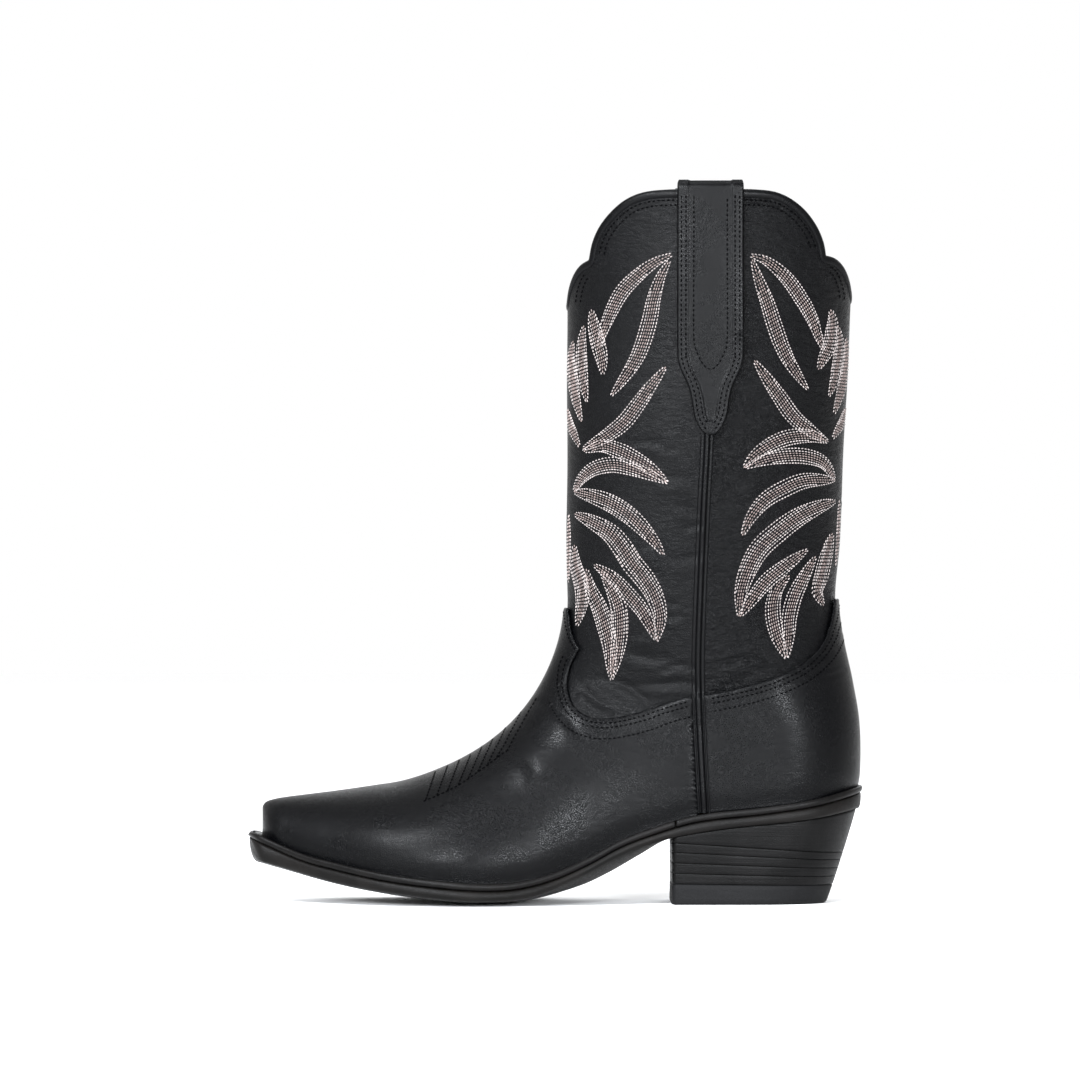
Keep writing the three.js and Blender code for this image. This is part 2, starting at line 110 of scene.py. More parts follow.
def lengths_along(line):
    """How far along a line each of its points is."""
    return np.concatenate([[0], np.cumsum(np.linalg.norm(np.diff(line, axis=0), axis=1))])


def read_at(at, run, rows):
    """Rows read off at distances along a line."""
    return np.stack([np.interp(at, run, rows[:, k]) for k in range(rows.shape[1])], axis=1)


def unit(vectors):
    return vectors / np.linalg.norm(vectors, axis=1, keepdims=True)


def resampled(line, step):
    """The same line in even steps of about that length."""
    run = lengths_along(line)
    at = np.linspace(0, run[-1], max(2, int(round(run[-1] / step)) + 1))
    return read_at(at, run, line)


# ---- the boot's form ----
# Side view: x towards the heel, z up. The surface is y = centre line -+ half-width, worked out along lines that
# are level in the leg, fan about a pivot in front of the ankle, and stand upright in the forefoot.
PIVOT_X, PIVOT_Z = -81.0, 144.0
TOE_X = -137.4
GRADIENT_STEP = 0.2
FRONT_POWER, BACK_POWER, TOE_POWER = 2.1, 2.2, 2.4
TOE_ROUNDING = 9

shaft_front = through((144, 6.1), (175, 5.7), (345, 5.8))
back_line = through((50, 141.1), (62, 143.1), (86, 142.8), (105, 139.6), (125, 135.3), (144, 133.2),
                    (172, 135.3), (286, 140.7), (345, 143))
instep = through((0, 87.1), (45, 85.7), (70, 86.1), (90, 89.6))
ridge = through((-137.4, 44.9), (-136.4, 46.0), (-133, 47.1), (-128, 48.0), (-102, 51.3), (-81, 54.4))
feather = through((-145, 34.5), (-121, 24.4), (-103.6, 20), (-80.6, 15.4), (-57.6, 12.5), (-34.5, 10.8),
                  (-17, 11.7), (0, 16), (17, 23.4), (30, 30.4), (45, 36.2), (66.6, 42.5), (99.4, 46.4),
                  (123.6, 50.2), (148, 56.5))
side_seam = through((30, 71), (79, 68.4), (109, 67.4), (129, 67.6), (189, 69.9), (220, 71.4), (345, 74))
seat_width = through((-145, 12.5), (-130, 17.5), (-110, 28), (-80, 40.5), (-45, 45), (-15, 40.5), (20, 32.5),
                     (55, 31), (100, 32), (145, 32))
leg_width = through((100, 34), (144, 37), (200, 41), (345, 45.5))
centre_line = through((-145, 6), (-100, 4), (-45, -0.2), (15, -2.5), (60, 0), (145, 0))


def leg_share(z):
    return smooth((z - 55) / 85)


def centre_y(x, z):
    return centre_line(x) * (1 - leg_share(z))


def back_rounding(z):
    return mix(36, 66, smooth((z - 70) / 80))


def reach_of_fan():
    """Angles in degrees about the pivot, and how far the boot reaches along each."""
    degrees = np.linspace(0, 90, 721)
    c, s = np.cos(np.radians(degrees)), np.sin(np.radians(degrees))
    low, high = instep(degrees), np.full(721, 300.0)
    for _ in range(40):
        half = (low + high) / 2
        x, z = PIVOT_X + half * c, PIVOT_Z - half * s
        inside = (x < back_line(z)) & (z > feather(x))
        low = np.where(inside, half, low)
        high = np.where(inside, high, half)
    return degrees, low


FAN_DEGREES, FAN_REACH = reach_of_fan()


def across(x, z):
    """The row through a side-view point: its angle, where it starts and ends, and the point's distance along it."""
    x, z = np.asarray(x, float), np.asarray(z, float)
    degrees = np.degrees(np.arctan2(PIVOT_Z - z, np.maximum(x - PIVOT_X, 1e-6)))
    distance = np.hypot(x - PIVOT_X, z - PIVOT_Z)
    near, far = instep(degrees), np.interp(degrees, FAN_DEGREES, FAN_REACH)
    leg, toe = z >= PIVOT_Z, (x < PIVOT_X) & (z < PIVOT_Z)
    degrees = np.where(leg, 0, np.where(toe, 90, degrees))
    distance = np.where(leg, x - PIVOT_X, np.where(toe, PIVOT_Z - z, distance))
    near = np.where(leg, shaft_front(z) - PIVOT_X, np.where(toe, PIVOT_Z - ridge(x), near))
    far = np.where(leg, back_line(z) - PIVOT_X, np.where(toe, PIVOT_Z - feather(x), far))
    return degrees, near, far, distance


def half_width(x, z):
    degrees, near, far, distance = across(x, z)
    rounding = (far - near) * mix(0.5, 0.95, smooth(degrees / 60))
    foot = seat_width(x) + 1.5 * (1 - np.exp(-(((z - feather(x)) / 6) ** 2)))
    full = mix(foot, leg_width(z), leg_share(z))
    front_edge = closing((distance - near) / rounding, FRONT_POWER)
    back_edge = closing((back_line(z) - x) / back_rounding(z), BACK_POWER)
    toe_edge = closing((x - TOE_X) / TOE_ROUNDING, TOE_POWER)
    return full * front_edge * back_edge * toe_edge


def outward(x, z, side):
    """Unit normals of the form's surface."""
    e, w = GRADIENT_STEP, half_width(x, z)
    dx = (half_width(x + e, z) ** 2 - half_width(x - e, z) ** 2) / (2 * e)
    dz = (half_width(x, z + e) ** 2 - half_width(x, z - e) ** 2) / (2 * e)
    sway_x = (centre_y(x + e, z) - centre_y(x - e, z)) / (2 * e)
    sway_z = (centre_y(x, z + e) - centre_y(x, z - e)) / (2 * e)
    n = np.stack([-dx - 2 * side * w * sway_x, 2 * side * w, -dz - 2 * side * w * sway_z], axis=-1)
    return n / np.maximum(np.linalg.norm(n, axis=-1, keepdims=True), 1e-9)


def skin(x, z, side, out=0.0):
    """Points that distance outside the form, over side-view points, on one side of the boot."""
    x, z = np.asarray(x, float), np.asarray(z, float)
    base = np.stack([x, centre_y(x, z) + side * half_width(x, z), z + 0 * x], axis=-1)
    lift = np.asarray(out, float) + folds(x, z, side)
    return base + outward(x, z, side) * lift[..., None]


def front_x(z):
    """The front of the leg and the instep as x at a height."""
    z = np.asarray(z, float)
    x = shaft_front(z)
    for _ in range(4):
        reach = instep(np.degrees(np.arctan2(PIVOT_Z - z, x - PIVOT_X)))
        low = PIVOT_X + np.sqrt(np.maximum(reach**2 - (PIVOT_Z - z) ** 2, 1))
        x = np.where(z < PIVOT_Z, low, shaft_front(z))
    return x


# ---- folds in the worn leather ----
# Each fold is a soft line in side view: from x, z to x, z, how wide, how deep, how far it bows, and its side.


# Each kind: how many, lowest height, span and bias of the heights, then the ranges of x, angle, length, width, depth.
FOLD_KINDS = (
    (34, 104, 180, 1.7, (76, 126), (-12, 24), (7, 20), (1.3, 2.4), (0.2, 0.42)),  # short wrinkles behind
    (13, 100, 150, 1.4, (30, 50), (-24, 8), (12, 24), (2.6, 4.6), (0.35, 0.7)),  # broad soft folds in front
)


def scattered_folds():
    rng = np.random.default_rng(12)
    found = []
    for side in (-1, 1):
        for count, low, span, bias, xs, angles, lengths, widths, depths in FOLD_KINDS:
            for _ in range(count):
                z = low + span * rng.random() ** bias
                x = rng.uniform(*xs)
                angle = math.radians(rng.uniform(*angles))
                length = rng.uniform(*lengths)
                found.append((x, z, x + length * math.cos(angle), z + length * math.sin(angle),
                              rng.uniform(*widths), rng.uniform(*depths), rng.uniform(-2, 2), side))
    return found


DRAWN_FOLDS = [
    (17, 107, 45, 95, 3.6, 1.0, 3), (12, 103, 30, 92, 3.0, 0.7, -2), (48, 109, 66, 112, 3.2, 0.8, 2),
    (30, 121, 58, 116, 4.2, 0.7, -2), (76, 109, 99, 116, 2.6, 0.9, 3), (84, 104, 112, 112, 2.4, 0.6, 2),
    (72, 139, 96, 126, 2.4, 0.6, -2), (84, 121, 110, 125, 2.2, 0.5, 2), (-8, 95, 12, 78, 4.5, 0.7, 3),
    (-26, 76, -8, 60, 5.0, 0.6, 2), (60, 176, 70, 179, 3.0, 0.5, 1), (56, 188, 68, 184, 3.4, 0.6, 1),
]
ALL_FOLDS = scattered_folds() + [fold + (side,) for fold in DRAWN_FOLDS for side in (-1, 1)]


def folds(x, z, side):
    """How far the leather stands out or sinks in, from its folds, at side-view points."""
    x, z = np.broadcast_arrays(np.asarray(x, float), np.asarray(z, float))
    side = np.broadcast_to(side, x.shape)
    total = 0.35 * np.sin(z / 17.0 + 1.3) * np.sin(x / 23.0 + z / 41.0) * smooth((z - 80) / 60)
    for x0, z0, x1, z1, width, depth, bow, of_side in ALL_FOLDS:
        reach = width * 3 + abs(bow)
        near = (x > min(x0, x1) - reach) & (x < max(x0, x1) + reach) & (side == of_side)
        near &= (z > min(z0, z1) - reach) & (z < max(z0, z1) + reach)
        if not near.any():
            continue
        dx, dz = x1 - x0, z1 - z0
        long = math.hypot(dx, dz)
        px, pz = x[near] - x0, z[near] - z0
        along = (px * dx + pz * dz) / long**2
        off = (px * dz - pz * dx) / long + bow * 4 * along * (1 - along)
        beyond = np.maximum(np.abs(along - 0.5) - 0.5, 0) * long
        fade = np.sin(math.pi * clamp01(along)) ** 0.6 * np.exp(-((beyond / width) ** 2))
        profile = 0.7 * np.exp(-(((off - width) / width) ** 2)) - np.exp(-((off / (0.6 * width)) ** 2))
        total[near] += depth * profile * fade
    return total


# ---- pieces as bent grids ----


def mesh_from(bm, name):
    mesh = bpy.data.meshes.new(name)
    bm.to_mesh(mesh)
    bm.free()
    return mesh


def points_of(mesh):
    flat = np.empty(len(mesh.vertices) * 3)
    mesh.vertices.foreach_get("co", flat)
    return flat.reshape(-1, 3)


def put_points(mesh, points):
    mesh.vertices.foreach_set("co", (points * MM).ravel())
    mesh.update()


def grid_mesh(name, columns, rows, place):
    """A create_grid sheet whose points go where place(u, v) says, u and v running from 0 to 1."""
    bm = bmesh.new()
    bmesh.ops.create_grid(bm, x_segments=columns, y_segments=rows, size=0.5)
    mesh = mesh_from(bm, name)
    uv = points_of(mesh)[:, :2] + 0.5
    put_points(mesh, place(uv[:, 0], uv[:, 1]))
    return mesh


def nearest(share, rows):
    """The index of the row at a share of the way through them."""
    return np.rint(share * (len(rows) - 1)).astype(int)


def settle(bm, weld=0.00001):
    """Closes seams and poles and turns the faces outward."""
    bmesh.ops.remove_doubles(bm, verts=bm.verts, dist=weld)
    bmesh.ops.dissolve_degenerate(bm, edges=bm.edges, dist=weld / 10)
    bmesh.ops.recalc_face_normals(bm, faces=bm.faces)


def piece(name, mesh, material, slot, replaces=(), thickness=0.0, weld=0.00001, ahead=None, fill=False):
    """Finishes a mesh as a piece of the boot: closed, smooth, facing out, with its wall, material and CAD node.
    A sheet faces the way ahead(centre) says. fill closes the ends of a tube."""
    bm = bmesh.new()
    bm.from_mesh(mesh)
    settle(bm, weld)
    if fill:
        bmesh.ops.holes_fill(bm, edges=[e for e in bm.edges if e.is_boundary], sides=0)
        bmesh.ops.recalc_face_normals(bm, faces=bm.faces)
    if ahead:
        face = max(bm.faces, key=lambda f: f.calc_area())
        if face.normal.dot(ahead(face.calc_center_median())) < 0:
            bmesh.ops.reverse_faces(bm, faces=bm.faces)
    for face in bm.faces:
        face.smooth = True
    bm.to_mesh(mesh)
    bm.free()
    obj = bpy.data.objects.new(name, mesh)
    bpy.context.scene.collection.objects.link(obj)
    mesh.materials.clear()
    mesh.materials.append(material)
    if thickness:
        wall = obj.modifiers.new("wall", "SOLIDIFY")
        wall.thickness = thickness * MM
        wall.offset = -1.0
        wall.use_even_offset = False
    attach(obj, "root")
    if replaces:
        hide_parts(*replaces)
    return obj


# Charts: places on the sheets of leather as u and v from 0 to 1.


def round_the_leg(turn):
    return 1 - np.cos(np.abs(turn) * math.pi / 2)


def front_chart(low, high):
    """The front of the leg, from the outer side seam round the front to the inner one."""

    def chart(u, v):
        turn = 2 * u - 1
        z = mix(low, high, v)
        x = front_x(z) + (side_seam(z) - front_x(z)) * round_the_leg(turn)
        return x, z, np.where(turn < 0, -1, 1)

    return chart


def rear_chart(low, high):
    """The back of the leg and the heel, from one side seam round the back to the other."""

    def chart(u, v):
        turn = 2 * u - 1
        rim = back_line(200) - (back_line(200) - side_seam(200)) * round_the_leg(turn)
        z = mix(low + (feather(rim) if low <= 0 else 0), high, v)
        x = back_line(z) - (back_line(z) - side_seam(z)) * round_the_leg(turn)
        return x, z, np.where(turn < 0, 1, -1)

    return chart


def foot_chart(u, v):
    """The foot: u from the outer feather over the ridge to the inner one, v from the ankle to the toe."""
    fan_end = 0.6
    turn = 2 * u - 1
    r = (1 - np.cos(np.abs(turn) * math.pi)) / 2
    degrees = (clamp01(v / fan_end) * 0.97 + 0.03) * 90
    distance = mix(instep(degrees), np.interp(degrees, FAN_DEGREES, FAN_REACH), r)
    x = PIVOT_X + distance * np.cos(np.radians(degrees))
    z = PIVOT_Z - distance * np.sin(np.radians(degrees))
    toe_x = mix(PIVOT_X - 0.01, TOE_X, np.sin(clamp01((v - fan_end) / (1 - fan_end)) * math.pi / 2))
    toe = v > fan_end
    x = np.where(toe, toe_x, x)
    z = np.where(toe, mix(ridge(toe_x), feather(toe_x), r), z)
    return x, z, np.where(turn < 0, -1, 1)


def inside_outline(x, z, outline):
    """Which side-view points an outline encloses."""
    inside = np.zeros(x.shape, bool)
    for (x0, z0), (x1, z1) in zip(outline, np.roll(outline, -1, axis=0)):
        crosses = (z0 > z) != (z1 > z)
        if crosses.any():
            inside ^= crosses & (x < x0 + (z - z0) * (x1 - x0) / (z1 - z0 if z1 != z0 else 1e-9))
    return inside


def leather_mesh(name, columns, rows, chart, out, outline, edges, roll=0.5):
    """A sheet of leather at a height over the form, cut to a side-view outline. Its cut edge lies on the lines in
    edges, and rolls down a little."""
    where = []

    def place(u, v):
        where[:] = chart(u, v)
        return skin(*where, out)

    sheet = grid_mesh(name, columns, rows, place)
    x, z, side = where
    keep = inside_outline(x, z, outline)
    rim = np.vstack([skin(line[:, 0], line[:, 1], s, out) for line in edges for s in (-1, 1)]) * MM
    tree = kdtree.KDTree(len(rim))
    for i, p in enumerate(rim):
        tree.insert(p, i)
    tree.balance()
    normal = outward(x, z, side)
    bm = bmesh.new()
    bm.from_mesh(sheet)
    bm.verts.ensure_lookup_table()
    layer = bm.verts.layers.int.new("grid_index")
    for i, vert in enumerate(bm.verts):
        vert[layer] = i
    outside = [f for f in bm.faces if not any(keep[vert.index] for vert in f.verts)]
    bmesh.ops.delete(bm, geom=outside, context="FACES")
    for vert in bm.verts:
        if not keep[vert[layer]]:
            vert.co = tree.find(vert.co)[0]
    rings = [v for v in bm.verts if v.is_boundary and not keep[v[layer]]]
    seen = set(rings)
    for drop in (roll, roll * 0.25):
        following = {e.other_vert(v) for v in rings for e in v.link_edges} - seen
        for vert in rings:
            vert.co -= Vector(normal[vert[layer]]) * drop * MM
        seen |= following
        rings = list(following)
    bm.verts.layers.int.remove(bm.verts.layers.int["grid_index"])
    bm.to_mesh(sheet)
    bm.free()
    return sheet


# ---- stitches ----


def stitch_shape():
    """One stitch as a slim grain with rounded ends, one unit long, wide and high."""
    bm = bmesh.new()
    bmesh.ops.create_icosphere(bm, subdivisions=1, radius=0.5)
    return mesh_from(bm, "stitch_shape")


def stitches(name, places, size, material, slot, sink):
    """A run of stitches. places are (middle, along, up) arrays in millimetres, size is length, width, height."""
    middle, along, up = (np.concatenate(part) for part in zip(*places))
    along = unit(along)
    sideways = unit(np.cross(up, along))
    up = np.cross(along, sideways)
    shape = stitch_shape()
    one = points_of(shape) * size
    bm = bmesh.new()
    for _ in range(len(middle)):
        bm.from_mesh(shape)
    mesh = mesh_from(bm, name)
    rng = np.random.default_rng(len(middle))
    stretch = rng.uniform(0.9, 1.08, (len(middle), 1, 1))
    lean = rng.normal(0, 0.05, (len(middle), 1, 1))
    ahead = along[:, None, :] + lean * sideways[:, None, :]
    points = (middle + up * sink)[:, None, :] + stretch * one[None, :, :1] * ahead
    points = points + one[None, :, 1:2] * sideways[:, None, :] + one[None, :, 2:] * up[:, None, :]
    put_points(mesh, points.reshape(-1, 3))
    return piece(name, mesh, material, slot, weld=1e-8)


NO_PLACES = (np.empty((0, 3)),) * 3


def spaced(line3, up, pitch):
    """Evenly pitched places along a line in space that has a normal at each point."""
    run = lengths_along(line3)
    at = np.arange(pitch * 0.5, run[-1] - pitch * 0.3, pitch)
    if len(at) == 0:
        return NO_PLACES
    along = read_at(at + 0.3, run, line3) - read_at(at - 0.3, run, line3) + 1e-9
    return read_at(at, run, line3), along, read_at(at, run, up)


def on_boot(line):
    """The part of a side-view line that lies on the boot."""
    x, z = line[:, 0], line[:, 1]
    _, near, _, distance = across(x, z)
    return line[(distance > near + 0.02) & (x < back_line(z) - 0.02)]


def seam(line, side, out, pitch):
    """Stitch places along a side-view line on the leather."""
    line = on_boot(line)
    if len(line) < 3:
        return NO_PLACES
    x, z = line[:, 0], line[:, 1]
    return spaced(skin(x, z, side, out), outward(x, z, side), pitch)


def beside(line, offset):
    """The line moved sideways, to the left of its direction where offset is positive."""
    ahead = np.gradient(line, axis=0)
    ahead /= np.maximum(np.linalg.norm(ahead, axis=1, keepdims=True), 1e-9)
    return line + offset * np.stack([-ahead[:, 1], ahead[:, 0]], axis=1)


# ---- materials ----


class Term:
    """A shader value that can stand in an expression: each operator adds its Math node."""

    def __init__(self, finish, socket):
        self.finish, self.socket = finish, socket

    def maths(self, operation, *values):
        return self.finish.node("ShaderNodeMath", {"operation": operation}, dict(enumerate(values)))

    def __add__(self, other):
        return self.maths("ADD", self, other)

    def __sub__(self, other):
        return self.maths("SUBTRACT", self, other)

    def __rsub__(self, other):
        return self.maths("SUBTRACT", other, self)

    def __mul__(self, other):
        return self.maths("MULTIPLY", self, other)

    def __abs__(self):
        return self.maths("ABSOLUTE", self)

    __radd__ = __add__
    __rmul__ = __mul__

    def between(self, low, high, start=0.0, end=1.0):
        """Runs smoothly from start to end as the value goes from low to high."""
        values = {"Value": self, "From Min": low, "From Max": high, "To Min": start, "To Max": end}
        return self.finish.node("ShaderNodeMapRange", {"interpolation_type": "SMOOTHSTEP"}, values)


def socket_name(key):
    return key.replace("_", " ").title().replace("Ior", "IOR")


def opaque(colour, share=1.0):
    """A share of a colour, with its alpha."""
    return (*(c * share for c in colour), 1.0)


class Finish:
    """A material on the principled shader, with the nodes that vary it over the surface."""

    def __init__(self, name, **plain):
        self.material = bpy.data.materials.new(name)
        self.material.use_nodes = True
        self.tree = self.material.node_tree
        self.shader = self.tree.nodes["Principled BSDF"]
        for key, value in plain.items():
            self.shader.inputs[socket_name(key)].default_value = value
        self.place = self.node("ShaderNodeTexCoord", {}, {}, "Object")

    def node(self, kind, settings, values, output=0):
        made = self.tree.nodes.new(kind)
        for key, value in settings.items():
            setattr(made, key, value)
        for key, value in values.items():
            if isinstance(value, Term):
                self.tree.links.new(value.socket, made.inputs[key])
            else:
                made.inputs[key].default_value = value
        return Term(self, made.outputs[output])

    def vector(self, operation, *values):
        return self.node("ShaderNodeVectorMath", {"operation": operation}, dict(enumerate(values)))

    def stretched(self, x, y, z, place=None):
        return self.vector("MULTIPLY", place or self.place, (x, y, z))

    def noise(self, scale, detail=3.0, roughness=0.55, place=None, output=0):
        values = {"Vector": place or self.place, "Scale": scale, "Detail": detail, "Roughness": roughness}
        return self.node("ShaderNodeTexNoise", {}, values, output)

    def cells(self, scale, feature="DISTANCE_TO_EDGE", place=None):
        values = {"Vector": place or self.place, "Scale": scale}
        return self.node("ShaderNodeTexVoronoi", {"feature": feature}, values)

    def blend(self, a, b, share):
        """From colour a to colour b."""
        values = {0: share, 6: a, 7: b}
        return self.node("ShaderNodeMix", {"data_type": "RGBA"}, values, 2)

    def bump(self, height, distance, strength=1.0, under=None):
        values = {"Height": height, "Distance": distance, "Strength": strength}
        if under:
            values["Normal"] = under
        return self.node("ShaderNodeBump", {}, values)

    def link(self, **terms):
        for key, term in terms.items():
            self.tree.links.new(term.socket, self.shader.inputs[socket_name(key)])
        return self.material


def upper_leather(name, settings, pebble, wrinkle, shine):
    """Tumbled black leather: fine pebbles with painted shade in their crevices, creased where it has worked, a little
    paler on the high grain.
    """
    f = Finish(name, Specular_IOR_Level=0.075)
    patches = f.noise(38, 3)
    warp = f.noise(160, 2)
    swirl = f.noise(420.0, 2.0, 0.5, output="Color")
    bent = f.vector("ADD", f.place, f.vector("MULTIPLY", swirl, (0.0011, 0.0011, 0.0011)))
    grain = f.cells(1150, place=bent).between(0.0, 0.16)
    pores = f.noise(2600, 2)
    lines = abs(f.noise(1.0, 3, 0.6, f.stretched(120, 120, 330, bent)) - 0.5).between(0.0, 0.05)
    ripples = f.noise(1.0, 4, 0.58, f.stretched(165, 165, 430, bent))
    worked = patches.between(0.42, 0.66)
    base = opaque(settings.leather_colour)
    pale = opaque([min(1.0, c * 2.0 + 0.0004) for c in settings.leather_colour])
    # Painted shade: the colour falls to a darker share in the low crevices between the pebbles, where grain is small.
    colour = f.blend(opaque(settings.leather_colour, 0.5), base, grain * 0.7 + 0.3)
    colour = f.blend(colour, pale, patches.between(0.45, 0.75) * 0.35 * grain)
    rough = patches.between(0.3, 0.7, shine + 0.03, shine - 0.05) + (1 - grain) * 0.14 + pores * 0.05
    height = grain * (0.5 * pebble) + pores * 0.18 + (warp - 0.5) * 0.5
    fine = f.bump(height, 0.00011, 0.9)
    creased = f.bump(lines * worked * (0.4 * wrinkle) + ripples * (2.0 * wrinkle), 0.0003, 0.9, fine)
    return f.link(Base_Color=colour, Roughness=rough, Normal=creased)


def thread(name, colour, shade, sheen):
    """Twisted sewing thread, whose colour falls to a share, shade, from stitch to stitch."""
    f = Finish(name, Sheen_Weight=sheen, Sheen_Roughness=0.4, Specular_IOR_Level=0.01 + 1.5 * sheen)
    change = f.noise(520, 2)
    twist = f.noise(1.0, 1, 0.5, f.stretched(2400, 2400, 5200))
    tint = f.blend(opaque(colour, shade), opaque(colour), change.between(0.34, 0.6))
    return f.link(Base_Color=tint, Roughness=change.between(0.3, 0.7, 0.5, 0.7),
                  Normal=f.bump(twist, 0.00012, 0.7))


def plain_leather(name, dark, light, rough=0.6, layers=0.0, fibre=1.0, gloss=0.3):
    """Sole, stack and lining leathers: mottled, fibrous, and layered on a cut edge where layers is set."""
    f = Finish(name, Specular_IOR_Level=gloss)
    mottle = f.noise(70, 4)
    fibres = f.noise(1.0, 4, 0.65, f.stretched(700, 700, 1500))
    pores = f.cells(900).between(0.0, 0.2)
    streak = f.noise(1.0, 2, 0.5, f.stretched(20, 20, 1900))
    tone = mottle.between(0.3, 0.7) * 0.6 + fibres * 0.4 * fibre
    tone = tone + (streak - 0.5) * layers
    colour = f.blend(dark, light, tone)
    height = fibres * (0.6 * fibre) + streak * layers + pores * 0.3
    return f.link(Base_Color=colour, Roughness=fibres.between(0.3, 0.7, rough - 0.08, rough + 0.1),
                  Normal=f.bump(height, 0.00012, 0.8))


def rubber(name):
    """Dull black rubber with a fine moulded texture and pale scuffs."""
    f = Finish(name, Specular_IOR_Level=0.09)
    speck = f.cells(1500, "F1")
    scuff = f.noise(1.0, 5, 0.7, f.stretched(60, 60, 160)).between(0.56, 0.75)
    colour = f.blend((0.003, 0.003, 0.0033, 1), (0.010, 0.010, 0.0106, 1), speck * 0.4 + scuff * 0.6)
    return f.link(Base_Color=colour, Roughness=scuff.between(0, 1, 0.62, 0.78),
                  Normal=f.bump(speck + scuff, 0.00008, 0.6))


def metal(name, colour, rough=0.35):
    """Bare drawn or rolled metal with fine scratches."""
    f = Finish(name, Metallic=1.0)
    scratch = f.noise(1.0, 3, 0.6, f.stretched(900, 90, 900))
    tarnish = f.noise(140, 3)
    tone = f.blend(opaque(colour, 0.6), opaque(colour), tarnish.between(0.3, 0.6))
    return f.link(Base_Color=tone, Roughness=scratch.between(0.2, 0.8, rough, rough + 0.2),
                  Normal=f.bump(scratch, 0.00003, 0.5))


def cork_board(name):
    """Ground cork: pale and dark crumbs pressed together, with painted shade in the gaps between them."""
    f = Finish(name, Specular_IOR_Level=0.3)
    crumbs = f.node("ShaderNodeTexVoronoi", {}, {"Vector": f.place, "Scale": 520.0}, "Color")
    tone = f.node("ShaderNodeSeparateColor", {}, {0: crumbs}, 0)
    gaps = f.cells(520).between(0.0, 0.12)
    # Painted shade: the crumbs' colour falls to the dark end along the gaps between them.
    colour = f.blend((0.12, 0.06, 0.025, 1), (0.42, 0.25, 0.12, 1), tone * gaps)
    return f.link(Base_Color=colour, Roughness=gaps.between(0, 1, 0.95, 0.8), Normal=f.bump(gaps + tone, 0.0003, 0.8))


def floor_paper(name, settings):
    """Smooth pale paper."""
    f = Finish(name, Specular_IOR_Level=0.15, Roughness=0.9)
    fibre = f.noise(30, 4)
    colour = f.blend(opaque(settings.floor_colour, 0.985), opaque(settings.floor_colour), fibre)
    return f.link(Base_Color=colour, Normal=f.bump(fibre, 0.0002, 0.2))


# ---- side-view lines of the pattern pieces ----
SHEET_TOP, TONGUE_HEIGHT, COUNTER_HEIGHT = 336, 139.8, 144.3
FRONT_SCALLOP = drawn([(5.7, 283), (6.8, 290.5), (9.2, 297), (12.4, 301), (16.6, 303.3)])
MAIN_SCALLOP = drawn([(16.6, 303.3), (18.4, 311.8), (21.6, 318.9), (26.6, 325.3), (33, 330.7), (41, 334), (52, 335.2),
                      (73, 335.4), (95, 335.2), (106, 333.4), (115, 328), (121.6, 320.4), (125.5, 312.4), (127, 305)])
BACK_SCALLOP = drawn([(127, 305), (131.9, 303.9), (135.9, 300.6), (138.6, 295.6), (140.2, 290), (140.7, 286)])
TOPLINE = np.vstack([FRONT_SCALLOP, MAIN_SCALLOP[1:], BACK_SCALLOP[1:]])
VAMP_EDGE = drawn([(65.2, 99), (53, 95.6), (43, 91.8), (33, 89), (23, 87.5), (14.5, 89), (9, 93.8), (6.6, 101.5),
                   (7.4, 110), (10.2, 117), (12.3, 120.6)])
TONGUE_EDGE = drawn([(12.3, 120.6), (9.6, 125.5), (8.3, 131), (7.7, 136), (7.2, 139.8)])
TONGUE_TOP = drawn([(x, TONGUE_HEIGHT) for x in (7.2, 6.7, 6.2, 5.6)], 0.05)
COUNTER_EDGE = drawn([(69.8, 99), (83, 101.6), (93, 104), (103, 107.2), (113, 111.6), (120, 116.6), (125.4, 123),
                      (128.8, 131), (130.6, 138), (131.2, 144.3)])
COUNTER_TOP = drawn([(x, COUNTER_HEIGHT) for x in (131.2, 132.2, 133.2)], 0.05)
PIPING_HALF, SIDE_WELT_HALF = 2.15, 3.1
COVER_OUT = 1.9
ON_COVER = COVER_OUT + 0.05
STRAP_LEFT = drawn([(72.9, 221.3), (70.6, 222), (68.4, 224.2), (66, 228.5), (64.9, 233), (64, 239), (62.4, 245),
                    (59.6, 251), (58, 256), (57.5, 262), (57.5, 300), (57.5, 341)])
STRAP_RIGHT = drawn([(72.9, 221.3), (75.2, 222), (77.4, 224.2), (79.8, 228.5), (81, 233), (81.9, 239), (83.5, 245),
                     (86.3, 251), (87.9, 256), (88.4, 262), (88.4, 300), (88.4, 341)])
STRAP_TIP, STRAP_FOLD, STRAP_INNER_END = 221.3, 337.6, 288.0
STRAP_MIDDLE, STRAP_SIDES = 72.9, (57.5, 88.4)
FOLD_RADIUS = 3.4

